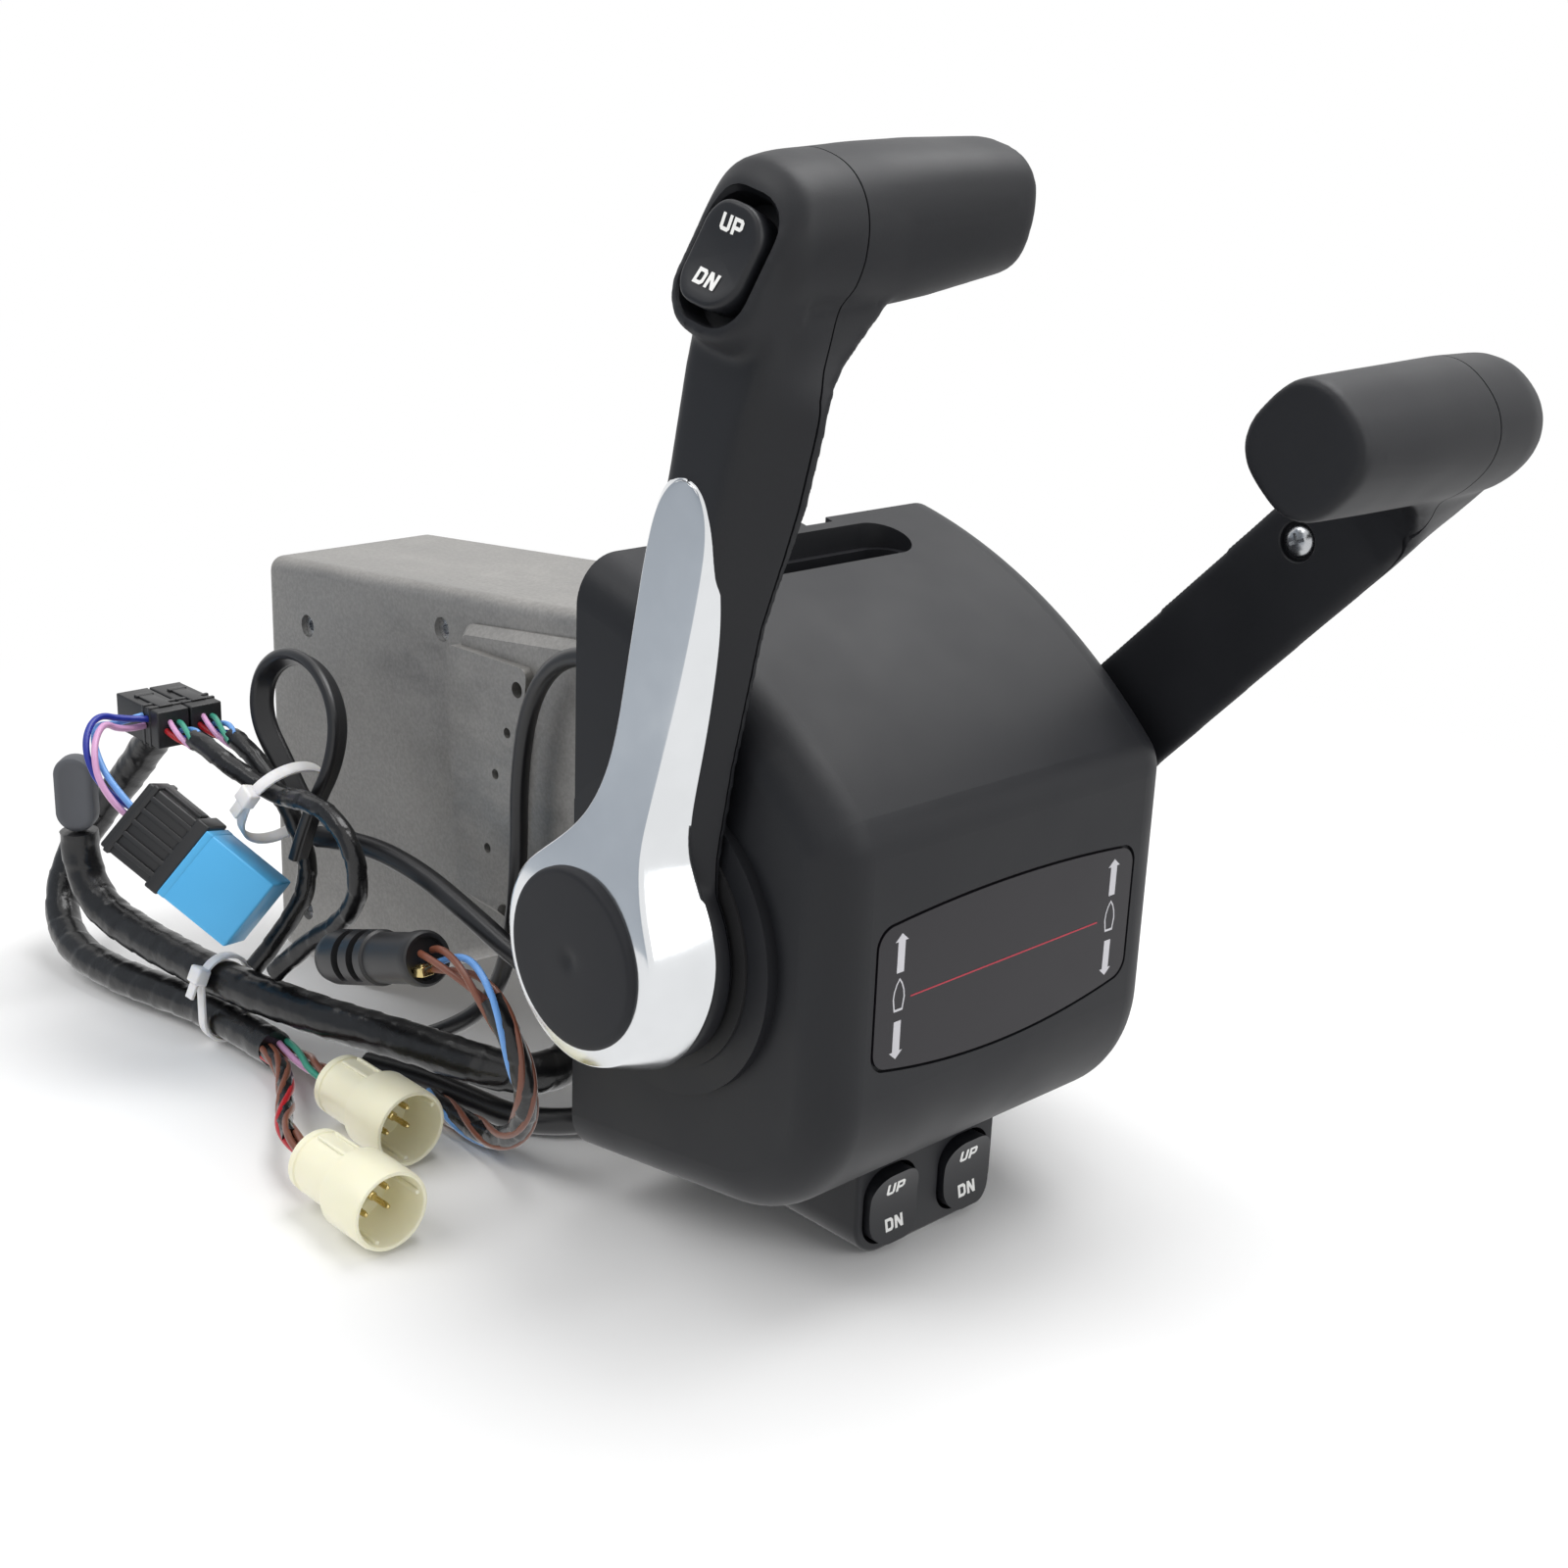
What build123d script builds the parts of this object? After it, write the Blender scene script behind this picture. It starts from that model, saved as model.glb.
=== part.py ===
from build123d import *
from math import atan2, cos, pi, radians, sin, sqrt, tan
import os

os.makedirs("parts", exist_ok=True)

# A twin-lever top-mount control for two outboard engines.  It stands on its aft side: +X points out of
# the console, +Z is boat-forward and +Y is starboard.  Millimetres.

# ---- datum ----
MOUNT_X = 15.8            # console plane, ahead of the origin
PIVOT_Z = 97.0            # lever axis above the surface that the control stands on
PIVOT_X = 34.0            # lever axis out of the console plane

# ---- cover ----
COVER_HALF = 70.0         # half width at the console
COVER_DRAFT = 4.0         # how much narrower each side is at the label face
COVER_HEIGHT = 97.0       # console plane to label face
COVER_AFT = 80.0          # lever axis to the aft edge
AFT_RISE = 0.12           # slope of the aft wall
SLOPE_R = 186.2           # radius of the forward slope
SLOPE_CX = -37.4          # centre of that radius from the console plane
SLOPE_CZ = -87.9          # centre of that radius from the lever axis
WALL = 2.8                # cover wall
CROWN_R = 14.0            # rounding between slope and label face
CHIN_R = 42.0             # rounding between label face and aft wall
SIDE_R = 13.0             # rounding along both sides
SLOT_LENGTH = 74.0        # switch slot in the forward slope
SLOT_WIDTH = 17.5
SLOT_X = 15.3             # its middle from the console plane
COLLAR_DEPTH = 16.0       # moulded collar under the slot
COLLAR_WALL = 2.0
LEDGE = 2.6               # ledge inside the collar
LEDGE_DEPTH = 5.0         # ledge below the slope
NOTCH_WIDTH = 10.5        # wire notch in the forward rim
NOTCH_DEPTH = 3.0
NOTCH_Y = 15.3
HUB_BOSS_R = 44.0         # round boss on each cover side
HUB_BOSS_OUT = 70.2       # its face from the centre plane
SHAFT_HOLE_R = 10.5       # hole for each lever shaft
POST_Y = 56.0             # screw posts inside the cover
POST_Z = 30.0
POST_R = 5.0
POST_END = 35.0
RIB = 3.0

# ---- label ----
LABEL_HALF = 51.5
LABEL_TOP = 16.5          # ends of the upper edge
LABEL_TOP_RISE = 3.0      # rise of that edge at the middle
LABEL_BOTTOM = -22.5
LABEL_BOTTOM_DROP = 6.0
LABEL_CORNER = 6.0
LABEL_THICK = 1.3
RECESS_DEPTH = 1.3
FIT = 0.3                 # gap between pieces that don't touch

# ---- base plate and switch apron ----
PLATE = 3.0
OPENING_HALF = 39.5       # opening for the case
OPENING_AFT = -54.0
OPENING_FORWARD = 72.0
APRON_HALF = 28.0
APRON_OUT = COVER_HEIGHT - 23.5            # face of the apron from the console plane
APRON_WALL = 2.5
APRON_CORNER = 10.0
ROCKER_Y = 15.1           # apron rockers from the centre plane
ROCKER_Z = -82.6          # their middle from the lever axis
MOUNT_HOLE_R = 3.25       # clearance for M6
MOUNT_Y = 54.0
MOUNT_AFT = -63.0
MOUNT_FORWARD = 66.0
SCREW_R = 2.0             # M4 screws
SCREW_HEAD = 3.8          # head radius of those screws
SCREW_LENGTH = 16.0
SCREW_GAP = 0.1           # radial gap of a screw in its hole
LEAD_Y = -47.0            # where the trim lead leaves the base plate
LEAD_Z = 60.0
LEAD_R = 2.8
SUPPLY_Y = -50.0          # where the supply cable meets the base plate
SUPPLY_Z = -46.0
SUPPLY_R = 3.5
SWITCH_LEAD_Y = -18.0     # where the apron's cable leaves the plate
SWITCH_LEAD_Z = -87.0
SWITCH_LEAD_R = 4.25
GROMMET_LIP = 1.5         # grommet wall, and how far its lip stands out round it
GROMMET_SINK = 1.2        # the lip's recess in the console side of the plate

# ---- mechanism case ----
CASE_HALF = 34.0
CASE_DEPTH = 218.0        # console plane to the far end
CASE_OUT = 62.0           # console plane to the end inside the cover
CASE_TOP = 69.0           # forward face at the console
CASE_TOP_END = 48.0       # forward face at the far end
CASE_BELLY = -52.0        # aft face near the console
CASE_FOOT = 53.0          # length of the foot at the far end
CASE_NECK = 75.0          # console plane to where the belly starts to slope
NOSE_TOP = 40.0           # half height inside the cover
NOSE_TIP = 26.0           # half height at the end inside the cover
NOSE_BEND = 40.0          # where it starts to taper
CASE_WALL = 4.0
CASE_CORNER = 5.5
CASE_EDGE = 4.5
PAD_NEAR = 3.0            # widened sides: console plane to their ends
PAD_FAR = 100.0
PAD_HALF = 38.0
PAD_TOP = 62.0
PAD_BOTTOM = -46.0
PAD_CORNER = 3.0
PLATE_OUT = 41.0          # raised boss plate on the widened side
BOSS_PLATE = ((-101, 44), (-60, 45), (-68, -32), (-96, -36))       # its corners, side view
THREAD_PLACE = (-64.7, 37.8)
SMALL_THREAD_PLACES = ((-69.6, 23.1), (-75.6, 8.4), (-79.8, -16.9))
THREAD_R = 2.5            # M6 core
SMALL_THREAD_R = 1.65     # M4 core
THREAD_DEPTH = 8.0
FLANGE_START = 3.0        # flange that seats on the base plate
FLANGE = 4.0
FLANGE_HALF = 48.0
FLANGE_TOP = 50.0
FLANGE_BOLT_Y = 43.8
FLANGE_BOLT_Z = 40.0
CLAMP_R = 6.5             # posts for the screws that clamp the case halves

# ---- levers ----
LEVER_LENGTH = 192.5      # lever axis to grip axis
PORT_ANGLE = 77.8         # rest angles from straight out towards ahead
STARBOARD_ANGLE = 47.2
LEVER_IN = 70.6           # inner face of the arm from the centre plane
HUB_IN = 71.4             # inner face of the hub
HUB_RELIEF_R = 38.0       # relief round the hub on the inner face
SPLIT = 73.8              # seam between arm and grip half, along the arm
HEAD_SPLIT = 62.5         # the same seam round the head
SPLIT_BEND = LEVER_LENGTH - 34.5           # where the seam turns in, along the arm
SPLIT_END = LEVER_LENGTH - 12.5            # where it has arrived
ARM_OUT = 87.2            # outer face of the arm
ARM_HALF = 17.5           # half width at the inner face
ARM_OUT_HALF = 7.2        # half width at the outer face
ARM_CORNER = 2.5
HEAD_R = 20.5
HEAD_OUT = 90.5
HEAD_EDGE = 6.0
HUB_R = 34.0
HUB_OUT = 97.2
HUB_EDGE = 4.0
CAP_R = 24.5
CAP_PROUD = 1.1           # hub cap out of the hub
CAP_OUT = HUB_OUT + CAP_PROUD
CAP_EDGE = 1.2
CAP_DEPTH = 3.4
DIMPLE_R = 2.0
TRIM_FLOOR = 77.6         # lower edge of the chromed trim
TRIM_HALF = 13.0
TRIM_CENTRE = 80.0
TRIM_REACH = 55.0
TRIM_SHOULDER = 27.0      # half width where the trim leaves the hub
SEAM = 0.15               # shut line
GRIP_IN = 6.5             # inner end of a grip from the centre plane
GRIP_END_S = 32.4         # its section there, along the arm
GRIP_END_T = 30.4         # and across it
GRIP_END_CORNER = 9.0
GRIP_EDGE = 2.0
SHAFT_R = 8.0
SHAFT_IN = 6.0
SHAFT_OUT = 88.0
BORE_GAP = 0.06
HUB_BOLT_R = 7.0
HUB_BOLT_HEAD = 4.5
SCREW_S = LEVER_LENGTH - 54                # lever screw along the arm
SCREW_T = -4.5            # and across it
SCREW_RECESS_R = 5.4
SCREW_RECESS = 2.2

# along the arm: inner half width, outer half width, outer face
ARM_STATIONS = ((20, 30, 24, 96), (45, 21, 12, 90), (70, ARM_HALF, ARM_OUT_HALF, ARM_OUT),
                (LEVER_LENGTH - 42.5, ARM_HALF, ARM_OUT_HALF, ARM_OUT),
                (LEVER_LENGTH - 2.5, 19.5, 11, 90))
# out from the centre plane: shift along the arm, length, width, corner
GRIP_STATIONS = ((72, -9, 58, 38, 15), (66, -4.5, 49, 39.5, 16), (57.6, 0, 40.6, 40.6, 17),
                 (30, 0, 35.6, 34.6, 13), (GRIP_IN, 0, GRIP_END_S, GRIP_END_T, GRIP_END_CORNER))

# ---- rocker switches ----
ROCKER_LENGTH = 21.4
ROCKER_WIDTH = 19.0
ROCKER_CORNER = 7.0
ROCKER_GAP = 1.2          # gap round a rocker in its recess
ROCKER_PROUD = 3.6        # ends of a rocker above its bezel
ROCKER_SADDLE = 2.0       # dip between those ends
ROCKER_BELOW = 4.5        # underside below the bezel
ROCKER_SINK = 8.0         # depth of the recess
PIN_R = 1.2
PIN_DEPTH = 2.6           # rocker pin below the bezel
PIN_BITE = 1.5            # pin in each recess wall
HEAD_ROCKER_LENGTH = 29.0
HEAD_ROCKER_S = LEVER_LENGTH - 9.5         # rocker in the port lever head, along the arm
HEAD_ROCKER_OUT = 91.5
HEAD_ROCKER_TILT = 18.0
BEZEL_WALL = 2.6
BEZEL_DEPTH = 15.0
BEZEL_TAPER = 6.0

# ---- gears ----
MODULE = 2.0
DRIVE_TEETH = 16
OUTPUT_TEETH = 32
PRESSURE = 20.0
GEAR_WIDTH = 8.0
GEAR_Y = 18.0             # middle of each gear pair from the centre plane
BACKLASH = 0.22
ARM_REACH = 36.0          # throttle arm, shaft to cable pin
ARM_Y = 27.4              # its outboard face from the centre plane
ARM_THICK = 3.0
ARM_END_R = 6.0
ARM_HUB_R = 10.0
CABLE_PIN_R = 2.5
OUTPUT_X = PIVOT_X - MODULE * (DRIVE_TEETH + OUTPUT_TEETH) / 2
OUTPUT_SHAFT_R = 6.0
OUTPUT_SHAFT_OUT = 34.5
OUTPUT_REST = -158.0      # direction of the port throttle arm at rest
BUSH_WALL = 3.0
BUSH_FLANGE = 3.0
SEAL_R = 36.5
SEAL_IN_R = 31.0
SEAL_OUT = 71.0

# ---- harness ----
LOOM_R = 7.0
RETURN_R = 6.5
BRANCH_R = 3.75
LOOP_R = 3.0
LEAD_PAIR_R = 3.0
BARREL_LEAD_R = 4.0
RELAY_LEAD_R = 3.0
RELAY_SIDE = 25.0
RELAY_LENGTH = 27.0
SOCKET_SIDE = 27.0
SOCKET_DEPTH = 22.0
SOCKET_LENGTH = 24.0
CONNECTOR_R = 12.0
CONNECTOR_NECK_R = 9.6
CONNECTOR_LENGTH = 38.5
CONNECTOR_CUP = 17.0
CONNECTOR_WALL = 1.6
TERMINAL_R = 1.1
BARREL_R = 8.5
BARREL_LENGTH = 54.0
CAP_LONG = 27.0
CAP_WIDE = 14.0
CAP_THICK = 7.0
TIE = 1.2                 # zip ties
TIE_WIDTH = 4.0
TIES = (((-158, -90, -81.5), (1, 0, 0), 30.6, 18.6),               # middle, facing, height, width
        ((-146, -73, -14), (0.85, 0, -0.5), 34.0, 29.6))
TERMINAL_ACROSS = 7.2     # pin spacing in a connector
TERMINAL_UP = 6.0
TERMINAL_LENGTH = 10.2
SOCKET_CORNER = 2.0
RELAY_CORNER = 1.0
RELAY_LEAN = (-0.282, -0.641, -0.714)      # direction of one side of the relay
LEAD_CONNECTOR_WIDE = 12.0
LEAD_CONNECTOR_TALL = 14.0
LEAD_CONNECTOR_LONG = 28.0
LEAD_CONNECTOR_CORNER = 1.5
CAP_FACING = (0.7, -0.7, 0)
CAP_RISE = 13.7           # middle of the dust cap above the loom's end

SIDE = Plane(origin=(MOUNT_X, 0, PIVOT_Z), x_dir=(1, 0, 0), z_dir=(0, -1, 0))
BASE = Plane(origin=(MOUNT_X, 0, PIVOT_Z), x_dir=(0, 1, 0), z_dir=(1, 0, 0))
TOP = Plane(origin=(MOUNT_X, 0, PIVOT_Z), x_dir=(0, 1, 0), z_dir=(0, 0, 1))
PORT, STARBOARD = -1, 1


def lever_plane(side, angle, out, s=0.0):
    """Plane of a lever: local X runs along the arm, the normal faces outboard."""
    along = Vector(cos(radians(angle)), 0, sin(radians(angle)))
    start = Vector(MOUNT_X + PIVOT_X, side * out, PIVOT_Z) + along * s
    return Plane(origin=start, x_dir=along, z_dir=(0, side, 0))


def across_plane(side, angle, s):
    """Plane square to the arm at s: local X runs across it, local Y outboard."""
    along = Vector(cos(radians(angle)), 0, sin(radians(angle)))
    start = Vector(MOUNT_X + PIVOT_X, 0, PIVOT_Z) + along * s
    return Plane(origin=start, x_dir=(side * along.Z, 0, -side * along.X), z_dir=along)


def edge_plane(side, angle, s=0.0):
    """Plane through the arm's middle: local X runs along it, local Y outboard."""
    along = Vector(cos(radians(angle)), 0, sin(radians(angle)))
    start = Vector(MOUNT_X + PIVOT_X, 0, PIVOT_Z) + along * s
    return Plane(origin=start, x_dir=along, z_dir=(-side * along.Z, 0, side * along.X))


def turning_axis(side, angle, s):
    """Axis parallel to Y through the arm at s, pointing outboard."""
    return Axis(lever_plane(side, angle, 0, s).origin, (0, side, 0))


def cover_form(inset):
    """The cover's outer form with every face drawn in by inset."""
    end = COVER_HEIGHT - inset
    slope_r = SLOPE_R - inset
    base = min(0.0, -inset)
    crown_z = SLOPE_CZ + sqrt(slope_r ** 2 - (end - SLOPE_CX) ** 2)
    middle_z = SLOPE_CZ + sqrt(slope_r ** 2 - (end / 2 - SLOPE_CX) ** 2)
    rim_z = SLOPE_CZ + sqrt(slope_r ** 2 - (base - SLOPE_CX) ** 2)
    aft = -COVER_AFT + inset
    corner = (end, aft + AFT_RISE * end)
    with BuildPart() as form:
        with BuildSketch(SIDE):
            with BuildLine():
                Polyline((base, rim_z), (base, aft), corner, (end, crown_z))
                ThreePointArc((end, crown_z), (end / 2, middle_z), (base, rim_z))
            make_face()
            fillet(vertices().sort_by_distance((end, crown_z))[0], CROWN_R - inset)
            fillet(vertices().sort_by_distance(corner)[0], CHIN_R - inset)
        extrude(amount=COVER_HALF + 10, both=True)
        half = COVER_HALF - inset
        draft = COVER_DRAFT / COVER_HEIGHT
        with BuildSketch(Plane(origin=(MOUNT_X, 0, 0))):
            with BuildLine():
                Polyline((base, half - draft * base), (end, half - draft * end),
                         (end, -half + draft * end), (base, -half + draft * base), close=True)
            make_face()
        extrude(amount=2 * PIVOT_Z + COVER_HEIGHT, mode=Mode.INTERSECT)
        sides = faces().filter_by(lambda f: abs(f.normal_at().Y) > 0.9).edges()
        fillet([e for e in sides if e.center().X > MOUNT_X + base + 0.1], SIDE_R - inset)
    return form.part


def save(piece, name):
    """Label a finished piece and write it."""
    piece.part.label = name
    export_step(piece.part, f"parts/{name}.step")
    print(name, piece.part.is_valid, len(piece.part.solids()), round(piece.part.volume))


outer_form = cover_form(0)
inner_form = cover_form(WALL)
grown_form = cover_form(-FIT)


# ---- cover ----
def slope_z(x):
    """Height of the forward slope above the lever axis, x out of the console plane."""
    return SLOPE_CZ + sqrt(SLOPE_R ** 2 - (x - SLOPE_CX) ** 2)


with BuildPart() as collar:
    with BuildSketch(TOP.offset(slope_z(SLOT_X) - COLLAR_DEPTH)):
        with Locations((0, -SLOT_X)):
            SlotOverall(SLOT_LENGTH + 2 * COLLAR_WALL, SLOT_WIDTH + 2 * COLLAR_WALL)
    extrude(amount=2 * COLLAR_DEPTH)
    add(outer_form, mode=Mode.INTERSECT)

with BuildPart() as posts:
    with BuildSketch(BASE.offset(PLATE + FIT)):
        with GridLocations(2 * POST_Y, 2 * POST_Z, 2, 2):
            Circle(POST_R)
        for side in (PORT, STARBOARD):
            for z in (-POST_Z, POST_Z):
                with Locations((side * (POST_Y + COVER_HALF) / 2, z)):
                    Rectangle(COVER_HALF - POST_Y, RIB)
    extrude(amount=POST_END - PLATE - FIT)
    add(outer_form, mode=Mode.INTERSECT)
    with BuildSketch(BASE.offset(PLATE + FIT)):
        with GridLocations(2 * POST_Y, 2 * POST_Z, 2, 2):
            Circle(SCREW_R + SCREW_GAP)
    extrude(amount=SCREW_LENGTH, mode=Mode.SUBTRACT)


def label_outline(gap):
    """Arched upper and lower edges between straight ends, drawn in by gap."""
    with BuildSketch() as outline:
        with BuildLine():
            ThreePointArc((-LABEL_HALF, LABEL_TOP), (0, LABEL_TOP + LABEL_TOP_RISE), (LABEL_HALF, LABEL_TOP))
            Line((LABEL_HALF, LABEL_TOP), (LABEL_HALF, LABEL_BOTTOM))
            ThreePointArc((LABEL_HALF, LABEL_BOTTOM), (0, LABEL_BOTTOM - LABEL_BOTTOM_DROP),
                          (-LABEL_HALF, LABEL_BOTTOM))
            Line((-LABEL_HALF, LABEL_BOTTOM), (-LABEL_HALF, LABEL_TOP))
        make_face()
        fillet(vertices(), LABEL_CORNER)
        if gap > 0:
            offset(amount=-gap, mode=Mode.REPLACE)
    return outline.sketch


with BuildPart() as cover:
    add(outer_form)
    with BuildSketch(SIDE):
        with Locations((PIVOT_X, 0)):
            Circle(HUB_BOSS_R)
        with Locations((-HUB_BOSS_R / 2, 0)):
            Rectangle(HUB_BOSS_R, 2 * HUB_BOSS_R, mode=Mode.SUBTRACT)
    extrude(amount=HUB_BOSS_OUT, both=True)
    add(inner_form, mode=Mode.SUBTRACT)
    add(collar.part)
    add(posts.part)
    with BuildSketch(TOP.offset(slope_z(SLOT_X) - LEDGE_DEPTH)):
        with Locations((0, -SLOT_X)):
            SlotOverall(SLOT_LENGTH, SLOT_WIDTH)
    extrude(amount=2 * COLLAR_DEPTH, mode=Mode.SUBTRACT)
    with BuildSketch(TOP.offset(slope_z(SLOT_X) - 2 * COLLAR_DEPTH)):
        with Locations((0, -SLOT_X)):
            SlotOverall(SLOT_LENGTH - 2 * LEDGE, SLOT_WIDTH - 2 * LEDGE)
    extrude(amount=3 * COLLAR_DEPTH, mode=Mode.SUBTRACT)
    with BuildSketch(SIDE):
        with Locations((PIVOT_X, 0)):
            Circle(SHAFT_HOLE_R)
    extrude(amount=COVER_HALF + WALL, both=True, mode=Mode.SUBTRACT)
    with BuildSketch(BASE):
        with Locations((NOTCH_Y, slope_z(0))):
            Rectangle(NOTCH_WIDTH, 4 * WALL)
    extrude(amount=NOTCH_DEPTH, mode=Mode.SUBTRACT)
    with BuildSketch(BASE):
        with Locations((0, -COVER_AFT)):
            Rectangle(2 * APRON_HALF, 4 * WALL)
    extrude(amount=PLATE + FIT, mode=Mode.SUBTRACT)
    with BuildSketch(BASE.offset(COVER_HEIGHT)):
        add(label_outline(0))
    extrude(amount=-RECESS_DEPTH, mode=Mode.SUBTRACT)
save(cover, "cover")

with BuildPart() as label_plate:
    with BuildSketch(BASE.offset(COVER_HEIGHT - RECESS_DEPTH)):
        add(label_outline(SEAM))
    extrude(amount=LABEL_THICK)
save(label_plate, "label_plate")


# ---- base plate ----
LEAD_EXITS = ((LEAD_Y, LEAD_Z, LEAD_R), (SUPPLY_Y, SUPPLY_Z, SUPPLY_R),
              (SWITCH_LEAD_Y, SWITCH_LEAD_Z, SWITCH_LEAD_R))
rim_half = COVER_HALF - WALL - FIT
rim_forward = slope_z(PLATE) - WALL - 2 * FIT
rim_aft = -COVER_AFT + WALL + 2 * FIT
with BuildPart() as base_plate:
    with BuildSketch(BASE):
        with Locations((0, (rim_forward + rim_aft) / 2)):
            RectangleRounded(2 * rim_half, rim_forward - rim_aft, SIDE_R - WALL - FIT)
        with Locations((0, (rim_aft - PIVOT_Z) / 2 + WALL)):
            Rectangle(2 * (APRON_HALF - FIT), PIVOT_Z + rim_aft + 2 * WALL)
        with Locations((0, (OPENING_FORWARD + OPENING_AFT) / 2)):
            RectangleRounded(2 * OPENING_HALF, OPENING_FORWARD - OPENING_AFT, CASE_CORNER,
                             mode=Mode.SUBTRACT)
        with Locations((-MOUNT_Y, MOUNT_AFT), (MOUNT_Y, MOUNT_AFT), (-MOUNT_Y, MOUNT_FORWARD),
                       (MOUNT_Y, MOUNT_FORWARD)):
            Circle(MOUNT_HOLE_R, mode=Mode.SUBTRACT)
        with GridLocations(2 * FLANGE_BOLT_Y, 2 * FLANGE_BOLT_Z, 2, 2):
            Circle(SMALL_THREAD_R, mode=Mode.SUBTRACT)
        for y, z, radius in LEAD_EXITS:
            with Locations((y, z)):
                Circle(radius + GROMMET_LIP, mode=Mode.SUBTRACT)
    extrude(amount=PLATE)
    with BuildSketch(BASE):
        for y, z, radius in LEAD_EXITS:
            with Locations((y, z)):
                Circle(radius + 2 * GROMMET_LIP)
    extrude(amount=GROMMET_SINK, mode=Mode.SUBTRACT)
    with Locations(Plane(origin=BASE.origin, x_dir=(0, 1, 0), z_dir=(-1, 0, 0))):
        with GridLocations(2 * POST_Y, 2 * POST_Z, 2, 2):
            CounterSinkHole(SCREW_R + SCREW_GAP, SCREW_HEAD + SCREW_GAP, depth=PLATE)
save(base_plate, "base_plate")

with BuildPart() as cover_screws:
    with BuildSketch(BASE):
        with GridLocations(2 * POST_Y, 2 * POST_Z, 2, 2):
            Circle(SCREW_R)
    extrude(amount=SCREW_LENGTH)
    with BuildSketch(BASE):
        with GridLocations(2 * POST_Y, 2 * POST_Z, 2, 2):
            Circle(SCREW_HEAD)
    extrude(amount=SCREW_HEAD - SCREW_R, taper=45)
save(cover_screws, "cover_screws")


# ---- rocker switches ----
def rocker(face, length):
    """Saddle-shaped rocker with its pin: local X is the pin, the face's normal points out."""
    ends = length / 2
    bowl_r = (ends ** 2 + ROCKER_SADDLE ** 2) / (2 * ROCKER_SADDLE)
    with BuildPart() as key:
        with BuildSketch(face.offset(-ROCKER_BELOW)):
            RectangleRounded(ROCKER_WIDTH, length, ROCKER_CORNER)
        extrude(amount=ROCKER_BELOW + ROCKER_PROUD)
        with BuildSketch(Plane(origin=face.origin, x_dir=face.y_dir, z_dir=face.x_dir)):
            with Locations((0, ROCKER_PROUD - ROCKER_SADDLE + bowl_r)):
                Circle(bowl_r)
        extrude(amount=ROCKER_WIDTH, both=True, mode=Mode.SUBTRACT)
        with BuildSketch(Plane(origin=face.origin, x_dir=face.y_dir, z_dir=face.x_dir)):
            with Locations((0, -PIN_DEPTH)):
                Circle(PIN_R)
        extrude(amount=ROCKER_WIDTH / 2 + ROCKER_GAP + PIN_BITE - BORE_GAP, both=True)
    return key


def rocker_recess(face, length):
    """The space that a rocker needs, with the holes for its pin."""
    with BuildPart() as space:
        with BuildSketch(face.offset(-ROCKER_SINK)):
            RectangleRounded(ROCKER_WIDTH + 2 * ROCKER_GAP, length + 2 * ROCKER_GAP,
                             ROCKER_CORNER + ROCKER_GAP)
        extrude(amount=ROCKER_SINK + ROCKER_PROUD + BEZEL_WALL)
        with BuildSketch(Plane(origin=face.origin, x_dir=face.y_dir, z_dir=face.x_dir)):
            with Locations((0, -PIN_DEPTH)):
                Circle(PIN_R + BORE_GAP)
        extrude(amount=ROCKER_WIDTH / 2 + ROCKER_GAP + PIN_BITE, both=True)
    return space.part


def apron_face(side):
    """Bezel plane of one apron rocker: local X to starboard, local Y forward."""
    return Plane(origin=(MOUNT_X + APRON_OUT, side * ROCKER_Y, PIVOT_Z + ROCKER_Z),
                 x_dir=(0, 1, 0), z_dir=(1, 0, 0))


with BuildPart() as switch_apron:
    with BuildSketch(BASE.offset(PLATE)):
        with Locations((0, -PIVOT_Z / 2 - COVER_AFT / 4)):
            RectangleRounded(2 * APRON_HALF, PIVOT_Z - COVER_AFT / 2, APRON_CORNER)
    extrude(amount=APRON_OUT - PLATE)
    fillet(faces().sort_by(Axis.X)[-1].edges(), APRON_WALL / 2)
    with BuildSketch(BASE.offset(PLATE)):
        with Locations((0, -PIVOT_Z / 2 - COVER_AFT / 4)):
            RectangleRounded(2 * (APRON_HALF - APRON_WALL), PIVOT_Z - COVER_AFT / 2 - 2 * APRON_WALL,
                             APRON_CORNER - APRON_WALL)
    extrude(amount=APRON_OUT - PLATE - ROCKER_SINK - APRON_WALL, mode=Mode.SUBTRACT)
    add(grown_form, mode=Mode.SUBTRACT)
    for side in (PORT, STARBOARD):
        add(rocker_recess(apron_face(side), ROCKER_LENGTH), mode=Mode.SUBTRACT)
save(switch_apron, "switch_apron")

for side, name in ((PORT, "apron_rocker_port"), (STARBOARD, "apron_rocker_starboard")):
    save(rocker(apron_face(side), ROCKER_LENGTH), name)


# ---- mechanism case ----
def case_outline(wall):
    """Side view of the case, drawn in by its wall."""
    with BuildSketch() as outline:
        with BuildLine():
            Polyline((CASE_OUT, -NOSE_TIP), (CASE_OUT, NOSE_TIP), (NOSE_BEND, NOSE_TOP), (0, NOSE_TOP),
                     (0, CASE_TOP), (-CASE_DEPTH, CASE_TOP_END), (-CASE_DEPTH, -PIVOT_Z),
                     (-CASE_DEPTH + CASE_FOOT, -PIVOT_Z), (-CASE_NECK, CASE_BELLY), (0, CASE_BELLY),
                     (0, -NOSE_TOP), (NOSE_BEND, -NOSE_TOP), close=True)
        make_face()
        fillet(vertices(), CASE_CORNER)
        if wall > 0:
            offset(amount=-wall, mode=Mode.REPLACE)
    return outline.sketch


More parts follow.
